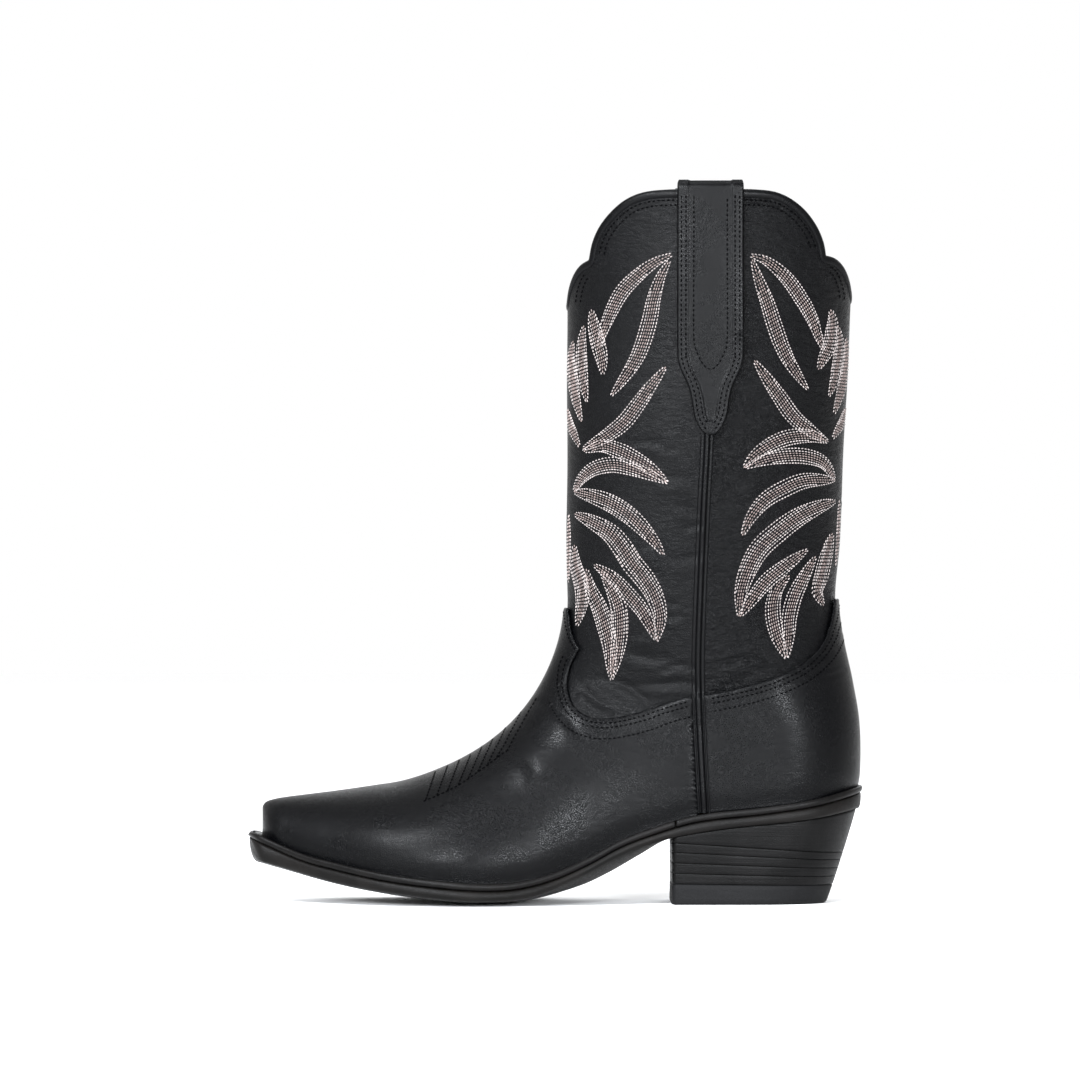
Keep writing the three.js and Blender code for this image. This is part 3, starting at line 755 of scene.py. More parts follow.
# The leaves of the stitched pattern: a centre line in side view and a greatest width for each.
FRONT_LEAVES = [
    ([(55.5, 306.5), (47, 302.5), (39.5, 297), (32, 289.5), (27, 281), (23, 271.5), (20.5, 262.5)], 6.5),
    ([(54, 304), (49.5, 295.5), (46.5, 286), (44.5, 276), (41.5, 265.5), (38, 257), (33, 249), (26.5, 240)], 7),
    ([(17, 281), (18, 274.5), (20, 265.5), (22, 257), (22.5, 250)], 6.5),
    ([(13.5, 273.5), (12.5, 265.5), (12.5, 256), (13.5, 246), (15, 237.5)], 5),
    ([(8.5, 266.5), (7.5, 258), (8.5, 248), (10, 238.5), (12.5, 228)], 4.5),
    ([(6, 234), (7, 227.5), (9, 222), (11.5, 216)], 3.4),
    ([(52, 253.5), (45.5, 245), (39.5, 236.5), (32.5, 227.5), (24, 221), (13, 215)], 7),
    ([(13.5, 214), (22, 216.5), (29.5, 214.5), (36.5, 211), (44.5, 206), (53, 199)], 7),
    ([(9, 195), (12.5, 201), (18, 205.5), (26, 207.5), (33.5, 206.5), (42.5, 203.5), (53, 199)], 7),
    ([(9, 195), (17, 193), (26, 189.5), (34.5, 184), (41.5, 177.5), (47, 171), (51, 165)], 8),
    ([(9.5, 184.5), (18, 180.5), (26, 175.5), (31.5, 169), (36.5, 161), (42.5, 153.5), (47, 145.5), (49.5, 136),
      (48, 124.5)], 9.5),
    ([(18.5, 160.5), (27, 154.5), (34.5, 146.5), (41.5, 138), (47.5, 125)], 6.8),
    ([(15, 158.5), (17, 149.5), (21, 140), (24, 130), (26, 120.5), (26.5, 106)], 7.5),
    ([(22, 157.5), (27, 148.5), (30, 140), (30.5, 130), (29.5, 120.5), (27, 107)], 7.5),
    ([(9.5, 170), (10, 161), (12.5, 151.5), (13, 143.5), (10.5, 131.5)], 6.5),
    ([(6.8, 184), (6.9, 170), (6.6, 152)], 1.7),
]
BACK_LEAVES = [
    ([(91, 306), (99.5, 303), (108.5, 295.5), (115.5, 286), (121, 276), (124.5, 266.5), (126.5, 261.5)], 6.5),
    ([(92.5, 304), (96, 293.5), (99.5, 284), (102.5, 274.5), (106, 264.5), (109.5, 257), (114, 250), (119, 243)], 7),
    ([(130, 281), (131, 274.5), (129.5, 264.5), (126.5, 258), (124, 252.5)], 6.5),
    ([(133.5, 273.5), (134.5, 265.5), (133.5, 256), (131.5, 246), (129.5, 240)], 5),
    ([(138, 268), (138, 258), (136.5, 248), (134.5, 239.5), (132, 231.5)], 4.5),
    ([(138.5, 235), (136.5, 228.5), (134, 224), (131.5, 220)], 3.8),
    ([(93.5, 256.5), (99.5, 248), (105.5, 239.5), (112, 230.5), (120, 224), (129, 218.5)], 7),
    ([(88.5, 206), (94.5, 212.5), (102.5, 217.5), (111, 220.5), (121, 221), (129.5, 218.5)], 7),
    ([(89, 206), (97.5, 209.5), (107.5, 211.5), (118, 211.5), (127, 208.5), (132.5, 200.5)], 7),
    ([(88, 174), (92, 182.5), (98.5, 190.5), (107.5, 196), (118, 200), (132.5, 200.5)], 7.5),
    ([(86.5, 136), (87.5, 147.5), (91, 158.5), (96.5, 168), (104.5, 175.5), (114, 182.5), (124, 187.5),
      (132.5, 190.5)], 9.5),
    ([(87, 136), (93, 144.5), (99.5, 152.5), (107.5, 159), (119, 167.5)], 6.8),
    ([(110.5, 155.5), (104.5, 148.5), (102.5, 139), (104.5, 127), (109, 116)], 7),
    ([(123, 164.5), (118, 155.5), (113, 145.5), (110.5, 136), (110, 126.5), (109, 116)], 7),
    ([(131, 175.5), (128.5, 166), (126, 155.5), (124, 147.5), (127, 141)], 6.5),
    ([(134.6, 191), (134.2, 178), (133.0, 160)], 1.7),
]


def seam_side(offset):
    """A line beside the side seam, from under the feather to the top of the vamp."""
    z = np.arange(30.0, 99.0, 0.4)
    return np.stack([side_seam(z) + offset, z], axis=1)


def outward_of_boot(centre):
    """Which way is out at a place on the upper, in metres."""
    x, z = centre.x / MM, centre.z / MM
    side = 1 if centre.y / MM > float(centre_y(x, z)) else -1
    return Vector(outward(np.array([x]), np.array([z]), side)[0])


def ready(name, make, *values, **options):
    """A material by name, made the first time it is asked for."""
    return bpy.data.materials.get(name) or make(name, *values, **options)


def hide(context, kind):
    """The black upper leather: smooth in front, tumbled behind, polished on the foot and the trim."""
    pebble, wrinkle, shine = {"smooth": (1.2, 0.9, 0.31), "tumbled": (2.0, 2.6, 0.27),
                              "polished": (0.8, 0.25, 0.25), "trim": (0.5, 0.2, 0.26)}[kind]
    return ready("black_leather_" + kind, upper_leather, context.scene.cowboy_boot, pebble, wrinkle, shine)


def sewing(context, kind):
    s = context.scene.cowboy_boot
    colour, shade, sheen = {"pattern": (s.thread_colour, 0.5, 0.2), "inner": (s.inner_thread_colour, 0.42, 0.2),
                            "seam": (s.seam_thread_colour, 0.5, 0.0)}[kind]
    return ready("thread_" + kind, thread, colour, shade, sheen)


def lining_leather(context):
    colour = context.scene.cowboy_boot.lining_colour
    return ready("lining_calf", plain_leather, opaque(colour, 0.6), opaque(colour), rough=0.62)


def sole_leather():
    return ready("dyed_sole_edge", plain_leather, (0.0008, 0.0007, 0.0007, 1), (0.0036, 0.0031, 0.0029, 1), rough=0.4,
                 layers=0.25, fibre=0.5, gloss=0.09)


def underside_leather():
    return ready("outsole_underside", plain_leather, (0.0008, 0.0007, 0.0006, 1), (0.0045, 0.0038, 0.0034, 1),
                 rough=0.45, gloss=0.09)


def stack_leather():
    return ready("stacked_heel_leather", plain_leather, (0.0008, 0.0008, 0.0008, 1), (0.0038, 0.0036, 0.0037, 1),
                 rough=0.42, layers=0.9, fibre=0.4, gloss=0.08)


def thread_run(name, context, kind, runs, size, sink):
    """Stitches along several lines as one piece."""
    return stitches(name, runs, size, sewing(context, kind), "trim_leather", sink)


# ---- sheets, rims and rings ----


def swept_mesh(name, line, normal, section):
    """A tube along a line in space, as a bent grid. section rows are (across, up) from the line."""
    section = np.array(section, float)
    ahead = unit(np.gradient(line, axis=0))
    sideways = unit(np.cross(normal, ahead))
    up = np.cross(ahead, sideways)

    def at(u, v):
        i, j = nearest(u, line), nearest(v, section)
        return line[i] + sideways[i] * section[j, :1] + up[i] * section[j, 1:]

    return grid_mesh(name, len(line) - 1, len(section) - 1, at)


sole_reach = through((-145, 5.6), (-110, 6.4), (-60, 6.6), (-25, 6), (10, 4), (35, 3.2), (60, 3.2), (145, 3.2))


def sole_half(x, trim=0.0):
    toe, heel = closing((x - TOE_TIP - trim) / 8, 2.6), closing((HEEL_TIP - trim - x) / 36, 2.2)
    return (seat_width(x) + sole_reach(x) - trim) * toe * heel


def sole_ring(first, last):
    """The sole's outer edge in plan between two x, as points in order and outward plan normals."""
    x = mix(TOE_TIP, HEEL_TIP, (1 - np.cos(np.linspace(0, math.pi, 700))) / 2)
    half = sole_half(x)
    lateral = np.stack([x, centre_line(x) - half], axis=1)
    medial = np.stack([x, centre_line(x) + half], axis=1)[::-1]
    ring = np.vstack([medial, lateral[1:]] if first < 0 else [lateral, medial[1:]])
    ring = resampled(ring[(ring[:, 0] >= first) & (ring[:, 0] <= last)], 1.0)
    ahead = unit(np.gradient(ring, axis=0))
    out = np.stack([ahead[:, 1], -ahead[:, 0]], axis=1)
    inside_out = np.mean(np.sum(out * (ring - ring.mean(axis=0)), axis=1)) < 0
    return ring, -out if inside_out else out


def ledge_height(x, level):
    """Height on a welt or rand at a level over the feather. The welt's top rounds off at the tip of the toe."""
    return feather(x) + mix(level, -3.2, 0.8 * (1 - closing((x - TOE_TIP) / 6, 2.0)))


def ledge_mesh(name, first, last, section):
    """A welt or rand: a section, as rows of inset and height over the feather, carried round the sole's edge."""
    ring, out = sole_ring(first, last)
    section = np.array(section, float)

    def at(u, v):
        i, j = nearest(u, ring), nearest(v, section)
        plan = ring[i] - out[i] * section[j, :1]
        return np.stack([plan[:, 0], plan[:, 1], ledge_height(plan[:, 0], section[j, 1])], axis=1)

    return grid_mesh(name, len(ring) - 1, len(section) - 1, at)


def block_mesh(name, half, low, high, first, last, rim=0.35, across=24, along=150):
    """A closed block over a plan outline, between the heights low(x, share) and high(x, share), share running from -1
    to 1 across it. Its edges are eased by rim."""
    flat, ends, none = np.linspace(-1, 1, across + 1), [1.0], np.zeros(across - 1)
    frac = np.concatenate([flat, [1.0, 1.0], flat[::-1], [-1.0, -1.0], [-1.0]])
    level = np.concatenate([np.ones(across + 1), [0.8, 0.2], np.zeros(across + 1), [0.2, 0.8], ends])
    tuck = np.concatenate([ends, none, ends, [0, 0], ends, none, ends, [0, 0], ends])

    def at(u, v):
        i = nearest(v, frac)
        x = mix(first, last, (1 - np.cos(u * math.pi)) / 2)
        w = half(x)
        y = np.sign(frac[i]) * np.maximum(np.abs(frac[i]) * w - tuck[i] * rim * np.minimum(1, w), 0)
        share = np.where(w > 0.01, frac[i], 0)
        return np.stack([x, centre_line(x) + y, mix(low(x, share), high(x, share), level[i])], axis=1)

    return grid_mesh(name, along, len(frac) - 1, at)


underside_middle = through(
    (-145, 20), (-130, 15.8), (-102, 8.4), (-73.7, 3.3), (-45, 0.3), (-24, 0.3), (-9.5, 2), (11.9, 8), (26, 14.5),
    (40.4, 22.8), (54, 30.5), (80, 36), (120, 40.5), (148, 46))
underside_edge = through(
    (-145, 21.6), (-130, 17.5), (-102, 10.5), (-73.7, 6), (-45, 2.9), (-24, 2.9), (-9.5, 5), (11.9, 13.6), (26, 21),
    (40.4, 27.6), (54, 31.5), (80, 36), (120, 40.5), (148, 46))


def underside(x, share):
    """The outsole's worn underside, rounder in the middle than at its edge."""
    return mix(underside_middle(x), underside_edge(x), share**2)


OUTSOLE_END, NOSE_LENGTH, NOSE_POWER = 145.4, 8, 2.6


def drawn_up(x, share):
    """How far the underside is drawn up where the outsole rounds off, at the toe and at the back."""
    level = np.abs(share) * closing((x + OUTSOLE_END) / NOSE_LENGTH, NOSE_POWER)
    inset = x + OUTSOLE_END - NOSE_LENGTH * (1 - (1 - level**NOSE_POWER) ** (1 / NOSE_POWER))
    toe = (1 - closing(inset / 3.6, 2.0)) * (1 - level**6)
    return np.maximum(toe, 1 - closing((OUTSOLE_END - x) / 1.8, 2.0))


BREAST_X = 54.7


def heel_joint(k, x):
    """Height of the joint over lift k, k = 0 being the top lift."""
    return (10, 15, 20, 25, 29.5)[k] - (k + 1) * (x - BREAST_X) / 75


def heel_point(turn, z):
    """Plan point on the heel's edge at a height, turn running 0 to 1 round the D from the middle of the breast."""
    back = mix(128.6, 144.8, clamp01(z / 50) ** 0.9)
    wide = mix(28.5, 33.5, smooth(z / 50))
    side = np.where(turn < 0.5, -1.0, 1.0)
    q = np.where(turn < 0.5, turn, 1 - turn) * 2
    straight = clamp01(q / 0.16)
    bow = clamp01((q - 0.16) / 0.84)
    x = BREAST_X + (back - BREAST_X) * np.sin(bow * math.pi / 2) ** 1.02
    corner = closing((x - BREAST_X + 0.25) / 1.4, 2.0)
    y = wide * closing((back - x) / 38, 2.2) * np.where(bow > 0, corner, corner * straight)
    return np.stack([x, side * y], axis=-1)


def lift_mesh(name, low, high, ease):
    """One layer of the heel between two heights low(x) and high(x), with eased edges and closed faces."""
    # Rows of level and inset: the rows on the edge follow the heel's outline, the others close the faces.
    rows = np.array([(0.0, 60), (0.0, 20), (0.0, 1.2), (0.0, ease), (0.08, 0), (0.3, 0), (0.7, 0), (0.92, 0),
                     (1.0, ease), (1.0, 1.2), (1.0, 20), (1.0, 60)])
    middle = np.array([88.0, 0.0])

    def at(u, v):
        level, inset = rows[nearest(v, rows)].T

        def drawn_in(x):
            away = heel_point(u, mix(low(x), high(x), level)) - middle
            size = np.maximum(np.linalg.norm(away, axis=1), 1)
            return middle + away * np.maximum(0, 1 - inset / size)[:, None]

        plan = drawn_in(95.0)
        plan = np.where(inset[:, None] < 2, drawn_in(plan[:, 0]), plan)
        return np.stack([plan[:, 0], plan[:, 1], mix(low(plan[:, 0]), high(plan[:, 0]), level)], axis=1)

    return grid_mesh(name, 220, len(rows) - 1, at)


# ---- settings ----


def colour_setting(name, description, default):
    return bpy.props.FloatVectorProperty(name=name, description=description, subtype="COLOR", size=3, min=0, max=1,
                                         default=default)


def length_setting(name, description, default, low, high):
    return bpy.props.FloatProperty(name=name, description=description, subtype="DISTANCE", unit="LENGTH",
                                   default=default, min=low, max=high)


class BootSettings(bpy.types.PropertyGroup):
    """Sizes and colours of the boot."""

    leather_colour: colour_setting("Leather", "Colour of the upper leather", (0.0005, 0.00055, 0.0008))
    thread_colour: colour_setting("Pattern thread", "Colour of the pale rows of the leaf pattern",
                                  (0.29, 0.253, 0.242))
    inner_thread_colour: colour_setting("Inner thread", "Colour of the rows in the middle of each leaf",
                                        (0.18, 0.137, 0.126))
    seam_thread_colour: colour_setting("Seam thread", "Colour of the thread in the seams", (0.0005, 0.0005, 0.0007))
    lining_colour: colour_setting("Lining", "Colour of the lining leather", (0.30, 0.19, 0.105))
    floor_colour: colour_setting("Floor", "Colour of the floor", (0.97, 0.97, 0.97))
    pattern_pitch: length_setting("Pattern pitch", "Distance from stitch to stitch in the leaf pattern", 0.00165,
                                  0.001, 0.004)
    seam_pitch: length_setting("Seam pitch", "Distance from stitch to stitch in the seams", 0.0023, 0.001, 0.006)
    upper_thickness: length_setting("Upper thickness", "Thickness of the upper leather", 0.0015, 0.0008, 0.003)
    light_power: bpy.props.FloatProperty(name="Light", description="Strength of the studio lamps", default=1.0,
                                         min=0.1, max=10)


# ---- operators ----


class BOOT_OT_shaft(bpy.types.Operator):
    """Front and back panels of the shaft, with their linings"""

    bl_idname = "boot.shaft"
    bl_label = "Shaft panels and linings"

    def execute(self, context):
        wall = context.scene.cowboy_boot.upper_thickness / MM
        top = np.vstack([[(-30, 283)], TOPLINE, [(170, 286), (170, 60), (-30, 60)]])
        calf, charts = lining_leather(context), {"front": front_chart(77, SHEET_TOP), "back": rear_chart(86, SHEET_TOP)}
        for where, kind in (("front", "smooth"), ("back", "tumbled")):
            name = f"shaft_{where}_panel"
            mesh = leather_mesh(name + "_leather", 150, 220, charts[where], 0.0, top, [TOPLINE], roll=0.3)
            piece(name + "_leather", mesh, hide(context, kind), "upper_leather", [name], wall, ahead=outward_of_boot)
        for where, chart in charts.items():
            name = "shaft_lining_" + where
            mesh = leather_mesh(name + "_calf", 100, 130, chart, -1.7, top, [TOPLINE], roll=0.0)
            piece(name + "_calf", mesh, calf, "lining_leather", [name], 1.0, ahead=outward_of_boot)
        return {"FINISHED"}


class BOOT_OT_foot(bpy.types.Operator):
    """Vamp with its tongue, and the heel counter cover"""

    bl_idname = "boot.foot"
    bl_label = "Vamp and heel counter"

    def execute(self, context):
        front_edge = seam_side(-PIPING_HALF - 0.2)[::-1]
        outline = np.vstack([[(-30, TONGUE_HEIGHT)], TONGUE_TOP[::-1], TONGUE_EDGE[::-1], VAMP_EDGE[::-1], front_edge,
                             [(68, -30), (-170, -30), (-170, TONGUE_HEIGHT)]])
        mesh = leather_mesh("vamp_leather", 190, 210, foot_chart, COVER_OUT, outline,
                            [TONGUE_TOP, TONGUE_EDGE, VAMP_EDGE, front_edge])
        piece("vamp_leather", mesh, hide(context, "polished"), "upper_leather", ["vamp"], 1.6, ahead=outward_of_boot)
        rear_edge = seam_side(PIPING_HALF + 0.2)
        outline = np.vstack([COUNTER_EDGE, COUNTER_TOP, [(170, COUNTER_HEIGHT), (170, -30), (75, -30)], rear_edge])
        mesh = leather_mesh("heel_counter_leather", 150, 120, rear_chart(0, 145.5), COVER_OUT, outline,
                            [COUNTER_EDGE, COUNTER_TOP, rear_edge])
        piece("heel_counter_leather", mesh, hide(context, "polished"), "upper_leather", ["heel_counter_cover"], 1.6,
              ahead=outward_of_boot)
        return {"FINISHED"}


class BOOT_OT_trim(bpy.types.Operator):
    """Rolled topline bindings, piped side welts and the two pull straps"""

    bl_idname = "boot.trim"
    bl_label = "Bindings, side welts and straps"

    def execute(self, context):
        trim = hide(context, "trim")
        x, z = TOPLINE.T
        rims = {side: (skin(x, z, side, 0.0), outward(x, z, side)) for side in (-1, 1)}
        seam_at = float(side_seam(335))
        bead = [(2.5, 0.0), (2.2, 0.35), (1.4, 0.6), (0.3, 0.68), (-0.6, 0.45), (-1.25, -0.1), (-1.5, -0.9),
                (-1.5, -1.9), (-1.2, -2.8), (-0.6, -3.3), (0.4, -3.45), (2.0, -3.35), (2.4, -3.0), (2.5, 0.0)]
        for name, part, way in (("topline_binding_front", x < seam_at + 1, -1),
                                ("topline_binding_back", x > seam_at - 1, 1)):
            line, normal = (np.vstack([rims[-1][k][part], rims[1][k][part][::-1]][::way]) for k in (0, 1))
            apart = np.linalg.norm(np.diff(line, axis=0), axis=1) > 0.05
            keep = np.concatenate([[True], apart])
            line, normal = line[keep], normal[keep]
            for _ in range(6):
                for rows in (line, normal):
                    rows[1:-1] = (rows[:-2] + 2 * rows[1:-1] + rows[2:]) / 4
            sideways = np.cross(normal, np.gradient(line, axis=0))
            lean = 1 if np.mean(sideways[:, 2]) < 0 else -1
            mesh = swept_mesh(name + "_roll", line, normal, [(lean * a, b) for a, b in bead])
            piece(name + "_roll", mesh, trim, "trim_leather", [name], fill=True)
        for word, side in SIDES.items():
            def strap_ahead(centre, side=side):
                outer_run = centre.z < 0.33 and abs(centre.y) > 0.0435
                return Vector((0, side, 0)) if outer_run else Vector((0, 0, 1))

            piece("side_welt_" + word + "_piping", self.side_welt(side), trim, "trim_leather", ["side_welt_" + word],
                  1.0, ahead=outward_of_boot)
            piece("pull_strap_" + word + "_leather", self.strap(side), trim, "trim_leather", ["pull_strap_" + word],
                  1.95, ahead=strap_ahead)
        return {"FINISHED"}

    def side_welt(self, side):
        foot, top = 33.0, 222.0

        def at(u, v):
            z = mix(foot, top, v)
            for _ in range(4):
                z = mix(feather(side_seam(z)) + 0.4, top, v)
            across = (2 * u - 1) * SIDE_WELT_HALF
            over = 1 - smooth((z - 97) / 4)
            bead = np.exp(-((across / 1.2) ** 4)) * mix(1.5, 0.95, over)
            groove = 0.45 * np.exp(-(((np.abs(across) - 1.75) / 0.4) ** 2)) * over
            edge = 0.35 * smooth((np.abs(across) - 2.5) / 0.6)
            return skin(side_seam(z) + across, z, side, mix(0.5, 2.08, over) + bead - groove - edge)

        return grid_mesh("side_welt", 26, 380, at)

    def strap(self, side):
        arc = math.pi * FOLD_RADIUS
        rise, down = STRAP_FOLD - STRAP_TIP, STRAP_FOLD - STRAP_INNER_END

        def at(u, v):
            s = v * (rise + arc + down)
            turn = clamp01((s - rise) / arc) * math.pi
            z = np.where(s < rise, STRAP_TIP + s, STRAP_FOLD + FOLD_RADIUS * np.sin(turn))
            z = np.where(s > rise + arc, STRAP_FOLD - (s - rise - arc), z)
            flat = np.minimum(z, STRAP_FOLD)
            left, right = (np.where(s < rise, np.interp(flat, line[:, 1], line[:, 0]), straight)
                           for line, straight in zip((STRAP_LEFT, STRAP_RIGHT), STRAP_SIDES))
            x = mix(left, right, u)
            edge = np.minimum(x - left, right - x)
            edge = np.where(s < 34, np.minimum(edge, s * 0.8), edge)
            raised = 0.42 * smooth((6.0 - edge) / 1.2) - 1.0 * smooth((0.55 - edge) / 0.55)
            outer = np.where(turn < math.pi / 2, 1, -1)
            lift = outer * raised * np.abs(np.cos(turn)) + (FOLD_RADIUS * np.cos(turn) - 1.3)
            p = skin(x, flat, side, lift)
            p[:, 2] = np.where(z > STRAP_FOLD, z + raised * np.sin(turn), p[:, 2])
            return p

        return grid_mesh("strap", 64, 330, at)


class BOOT_OT_sole(bpy.types.Operator):
    """Welt, rand, outsole and the heel's lifts"""

    bl_idname = "boot.sole"
    bl_label = "Sole and heel"

    def execute(self, context):
        sole, stack, cap = sole_leather(), stack_leather(), ready("moulded_rubber", rubber)
        welt = [(9, -0.2), (6.4, -0.1), (3.6, 0.05), (3.0, -0.3), (2.2, -0.35), (1.7, 0.0), (0.9, 0.05), (0.35, -0.3),
                (0.05, -0.9), (0, -1.7), (0.1, -2.4), (0.5, -2.95), (1.2, -3.2), (5, -3.2), (9, -3.2), (9, -0.2)]
        rand = [(7, -0.2), (3, 0), (1.0, 0.05), (0.3, -0.35), (0.0, -1.1), (0.0, -2.2), (0.3, -2.9), (1.0, -3.2),
                (4, -3.2), (7, -3.2), (7, -0.2)]
        for name, first, last, section in (("welt", TOE_TIP, 56.7, welt), ("heel_rand", 57.0, HEEL_TIP, rand)):
            mesh = ledge_mesh(name + "_leather", first, last, section)
            piece(name + "_leather", mesh, sole, "sole_leather", [name], fill=True)
        mesh = block_mesh("outsole_leather", lambda x: sole_half(x, 0.6),
                          lambda x, share: mix(underside(x, share), feather(x) - 4.2, drawn_up(x, share)),
                          lambda x, share: feather(x) - 3.45 - 0.5 * drawn_up(x, share), -OUTSOLE_END, OUTSOLE_END,
                          rim=0.9, along=300)
        piece("outsole_leather", mesh, underside_leather(), "sole_leather", ["outsole"])
        lifts = ("heel_top_lift", "heel_lift_1", "heel_lift_2", "heel_lift_3", "heel_lift_4", "heel_wedge_lift")
        for k, name in enumerate(lifts):
            low = (lambda x: 0.0 * x) if k == 0 else (lambda x, k=k: heel_joint(k - 1, x) + 0.06)
            high = (lambda x: underside(x, 1.0) - 0.1) if k == 5 else (lambda x, k=k: heel_joint(k, x) - 0.06)
            material, slot, ease = (cap, "cap_rubber", 0.5) if k == 0 else (stack, "stack_leather", 0.14)
            piece(name + "_layer", lift_mesh(name + "_layer", low, high, ease), material, slot, [name])
        return {"FINISHED"}


class BOOT_OT_insides(bpy.types.Operator):
    """Heel sock, and finishes for the pieces that lie inside the boot"""

    bl_idname = "boot.insides"
    bl_label = "Insides"

    def execute(self, context):
        calf = lining_leather(context)
        board = ready("insole_board", plain_leather, (0.20, 0.12, 0.065, 1), (0.46, 0.31, 0.185, 1), rough=0.7)
        stiff = ready("stiffener_board", plain_leather, (0.13, 0.10, 0.07, 1), (0.30, 0.24, 0.17, 1), rough=0.8)
        finishes = {"vamp_lining": calf, "heel_lining": calf, "insole": board, "toe_box_stiffener": stiff,
                    "heel_counter_stiffener": stiff, "cork_filler": ready("ground_cork", cork_board),
                    "steel_shank": ready("sprung_steel", metal, (0.42, 0.43, 0.44), rough=0.35)}
        brass = ready("drawn_brass", metal, (0.55, 0.38, 0.13), rough=0.3)
        finishes.update((f"heel_nail_{k}", brass) for k in range(1, 6))
        for name, material in finishes.items():
            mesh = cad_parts[name].data
            mesh.materials.clear()
            mesh.materials.append(material)
        inset, front = 6.1, 60

        def half(x):
            return (seat_width(x) - inset) * closing((back_line(feather(x)) - inset - x) / 36, 2.2)

        def top(x, share):
            return feather(x) + 8.3 - 0.9 * np.abs(share) ** 12 - 0.9 * (1 - smooth((x - front) / 1.6))

        mesh = block_mesh("heel_sock_leather", half, lambda x, share: feather(x) + 7.0, top, front, 136.5, rim=0.3,
                          across=40, along=120)
        piece("heel_sock_leather", mesh, calf, "lining_leather", ["heel_sock"])
        return {"FINISHED"}


class BOOT_OT_leaves(bpy.types.Operator):
    """The stitched leaf pattern on the four faces of the shaft"""

    bl_idname = "boot.leaves"
    bl_label = "Leaf stitching"

    def execute(self, context):
        pitch = context.scene.cowboy_boot.pattern_pitch / MM
        for panel, leaves in (("front", FRONT_LEAVES), ("back", BACK_LEAVES)):
            for word, side in SIDES.items():
                rows = {"pattern": [], "inner": []}
                for points, width in leaves:
                    for kind, run in leaf_rows(points, width, side, pitch):
                        rows[kind].append(run)
                for kind, runs in rows.items():
                    thread_run(f"leaf_stitches_{panel}_{word}_{kind}", context, kind, runs, (1.38, 0.62, 0.5), 0.08)
        return {"FINISHED"}


ROW_GAP, ROW_SLANT, NARROWEST_HALF = 1.1, 0.5, 2.2


def leaf_rows(points, width, side, pitch):
    """The rows of one leaf: one along each rim, and inner ones whose stitches make slanting ribs."""
    line = drawn(points, 0.25)
    line[:, 0] = np.clip(line[:, 0], front_x(line[:, 1]) + 0.1, back_line(line[:, 1]) - 0.1)
    run = lengths_along(skin(line[:, 0], line[:, 1], side))
    ahead = unit(np.gradient(line, axis=0))
    left = np.stack([-ahead[:, 1], ahead[:, 0]], axis=1)
    half = width / 2 * np.sin(math.pi * clamp01(run / run[-1] * 0.985 + 0.0075)) ** 0.62
    rims = [on_skin(line + left * (half * k)[:, None], side) for k in (-0.9, 0.9)]
    ratio = np.clip(1.8 * half / np.linalg.norm(rims[0] - rims[1], axis=1), 0.12, 1)
    count = int((half / ratio).max() / ROW_GAP)
    rows = [(half * k, run > 0, 1.0) for k in (-1, 1)]
    rows += [(k * ROW_GAP * ratio, np.abs(k) * ROW_GAP * ratio < half - 0.6 * ratio, abs(k) / (count + 0.5))
             for k in range(-count, count + 1)]
    for offset, keep, share in rows:
        at = np.arange(0.4 * pitch, run[-1] + 3, pitch) - ROW_SLANT * np.sign(offset[len(run) // 2]) * share * width / 4
        at = at[(at >= 0) & (at <= run[-1])]
        path = read_at(at, run, line + left * offset[:, None])
        step = read_at(at, run, ahead) * 0.1
        _, near, _, distance = across(path[:, 0], path[:, 1])
        keep = (np.interp(at, run, keep * 1.0) > 0.5) & (distance > near + 0.03)
        keep &= (path[:, 0] < back_line(path[:, 1]) - 0.03) & (half_width(path[:, 0], path[:, 1]) > NARROWEST_HALF)
        x, z = path[keep].T
        if len(x):
            along = on_skin(path[keep] + step[keep], side) - on_skin(path[keep] - step[keep], side)
            yield "inner" if share < 0.42 else "pattern", (skin(x, z, side), along, outward(x, z, side))


def on_skin(line, side):
    """Points on the leather over a side-view line, kept within the boot's outline."""
    x = np.clip(line[:, 0], front_x(line[:, 1]) + 0.03, back_line(line[:, 1]) - 0.03)
    return skin(x, line[:, 1], side)


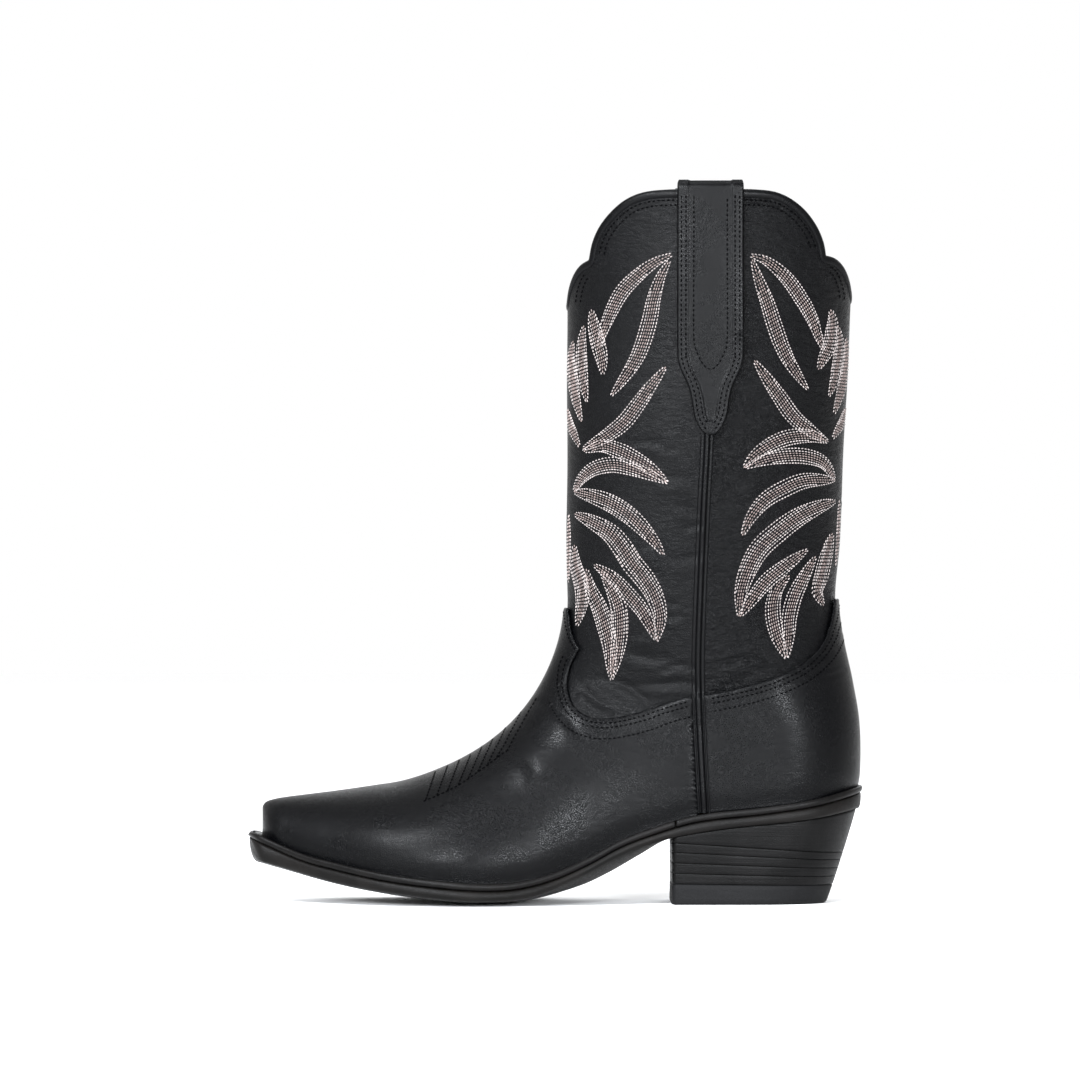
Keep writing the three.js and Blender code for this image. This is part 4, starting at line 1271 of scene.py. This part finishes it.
class BOOT_OT_seams(bpy.types.Operator):
    """Thread in the seams: topline, vamp, counter, toe wrinkles, straps and welt"""

    bl_idname = "boot.seams"
    bl_label = "Seam stitching"

    def execute(self, context):
        pitch = context.scene.cowboy_boot.seam_pitch / MM
        topline = (FRONT_SCALLOP[4:-12], MAIN_SCALLOP[10:-10], BACK_SCALLOP[12:])
        edges = ((VAMP_EDGE[8:-14], (2.2, 4.4)), (VAMP_EDGE[8:-60], (9.5,)), (TONGUE_EDGE, (1.6,)),
                 (COUNTER_EDGE[8:], (-2.2, -4.4)), (COUNTER_EDGE[8:-30], (-8.2,)))
        for word, side in SIDES.items():
            top = [seam(beside(line, -d), side, 0.05, pitch) for d in (3.6, 5.9) for line in topline]
            foot = [seam(beside(edge, d), side, ON_COVER, pitch) for edge, rows in edges for d in rows]
            for name, runs, size in (("topline_stitches_", top, (1.7, 0.85, 0.42)),
                                     ("vamp_and_counter_stitches_", foot, (1.7, 0.85, 0.42)),
                                     ("toe_wrinkle_stitches_", self.wrinkles(side, pitch), (1.8, 0.9, 0.45)),
                                     ("strap_stitches_", self.strap(side, pitch), (1.7, 0.85, 0.45))):
                thread_run(name + word, context, "seam", runs, size, 0.04)
        ring, out = sole_ring(TOE_TIP, 52)
        plan = (ring - out * 2.6)[4:-4]
        line = np.stack([plan[:, 0], plan[:, 1], ledge_height(plan[:, 0], -0.32)], axis=1)
        up = np.zeros_like(line) + (0, 0, 1)
        thread_run("welt_stitches", context, "seam", [spaced(line, up, 2.9)], (2.2, 0.8, 0.6), 0.1)
        return {"FINISHED"}

    def wrinkles(self, side, pitch):
        """Rows of tonal stitching over the ridge of the vamp, and the curved row that ends them."""
        edge = drawn([(-62, 47.5), (-53, 51.2), (-44, 55.8), (-34, 62.6), (-27, 67.6), (-21, 72)])
        runs = [seam(edge, side, ON_COVER, pitch)]
        for q in np.linspace(0.04, 0.97, 9):
            foot = edge[int(q * (len(edge) - 1))]
            slope = np.array([0.35 + 0.25 * q, 1.0])
            runs.append(seam(foot + np.linspace(0, 1, 60)[:, None] * slope * 26, side, ON_COVER, pitch))
        return [run for run in runs if len(run[0])]

    def strap(self, side, pitch):
        runs = []
        for edge, way in ((STRAP_LEFT, -1), (STRAP_RIGHT, 1)):
            for inset in (2.0, 4.1):
                line = beside(edge, inset * way)
                line = line[(line[:, 1] > STRAP_TIP + inset * 1.3) & (line[:, 1] < 335.5)]
                line = line[(line[:, 0] - STRAP_MIDDLE) * way > 0.3]
                runs.append(seam(line, side, 2.52, pitch))
        loop = drawn([(65.2, 334), (65.2, 300), (65.2, 268), (66.6, 260.5), (69.6, 254.5), (STRAP_MIDDLE, 252.4),
                      (76.3, 254.5), (79.4, 260.5), (80.7, 268), (80.7, 300), (80.7, 334)])
        runs.append(seam(loop, side, 2.12, pitch))
        return runs


class BOOT_OT_stage(bpy.types.Operator):
    """Floor, studio lamps and the camera, square to the outer side of the boot"""

    bl_idname = "boot.stage"
    bl_label = "Floor, lamps and camera"

    def execute(self, context):
        s = context.scene.cowboy_boot
        link = context.scene.collection.objects.link
        bm = bmesh.new()
        bmesh.ops.create_grid(bm, x_segments=1, y_segments=1, size=6.0)
        bmesh.ops.translate(bm, verts=bm.verts, vec=(0, 0, -0.00003))
        mesh = mesh_from(bm, "floor")
        mesh.materials.append(ready("pale_paper", floor_paper, s))
        floor = bpy.data.objects.new("floor", mesh)
        link(floor)
        for name, place, size, power in (("key_lamp", (-0.75, -2.7, 0.75), 0.5, 105.0),
                                         ("side_lamp", (-0.95, -1.3, 1.25), 0.4, 60.0),
                                         ("fill_lamp", (0.85, -2.7, 0.45), 0.5, 80.0),
                                         ("top_lamp", (0.0, -0.3, 1.5), 0.6, 9.0),
                                         ("rear_lamp", (0.3, 1.5, 0.9), 1.1, 9.0)):
            light = bpy.data.lights.new(name, "AREA")
            light.shape = "DISK"
            light.size = size
            light.energy = power * s.light_power
            light.color = (0.93, 0.96, 1.0)
            lamp = bpy.data.objects.new(name, light)
            lamp.location = place
            lamp.rotation_mode = "QUATERNION"
            lamp.rotation_quaternion = (Vector((0, 0, 0.17)) - Vector(place)).to_track_quat("-Z", "Y")
            link(lamp)
        world = bpy.data.worlds.new("pale_room")
        world.use_nodes = True
        sky = world.node_tree.nodes["Background"]
        sky.inputs["Color"].default_value = (1.0, 1.0, 1.0, 1.0)
        sky.inputs["Strength"].default_value = 1.0
        context.scene.world = world
        context.scene.view_settings.view_transform = "Standard"
        distance, width_seen = 3.5, 0.5134
        camera = bpy.data.cameras.new("camera")
        camera.sensor_width = 36.0
        camera.lens = 36.0 * distance / width_seen
        camera.clip_end = 50.0
        view = bpy.data.objects.new("camera", camera)
        view.location = (-0.0071, -distance, 0.1721)
        view.rotation_euler = (math.pi / 2, 0.0, 0.0)
        link(view)
        context.scene.camera = view
        return {"FINISHED"}


class BOOT_PT_panel(bpy.types.Panel):
    """Builds the boot piece by piece"""

    bl_idname = "BOOT_PT_panel"
    bl_label = "Cowboy boot"
    bl_space_type = "VIEW_3D"
    bl_region_type = "UI"
    bl_category = "Boot"

    def draw(self, context):
        for name in BootSettings.__annotations__:
            self.layout.prop(context.scene.cowboy_boot, name)
        for operator in OPERATORS:
            self.layout.operator(operator.bl_idname)


OPERATORS = (BOOT_OT_shaft, BOOT_OT_foot, BOOT_OT_trim, BOOT_OT_sole, BOOT_OT_insides, BOOT_OT_leaves,
             BOOT_OT_seams, BOOT_OT_stage)
CLASSES = (BootSettings, *OPERATORS, BOOT_PT_panel)


def register():
    for kind in CLASSES:
        bpy.utils.register_class(kind)
    bpy.types.Scene.cowboy_boot = bpy.props.PointerProperty(type=BootSettings)


def unregister():
    del bpy.types.Scene.cowboy_boot
    for kind in reversed(CLASSES):
        bpy.utils.unregister_class(kind)


def main():
    register()
    bpy.ops.boot.shaft()
    bpy.ops.boot.foot()
    bpy.ops.boot.trim()
    bpy.ops.boot.sole()
    bpy.ops.boot.insides()
    bpy.ops.boot.leaves()
    bpy.ops.boot.seams()
    bpy.ops.boot.stage()


if __name__ == "__main__":
    main()
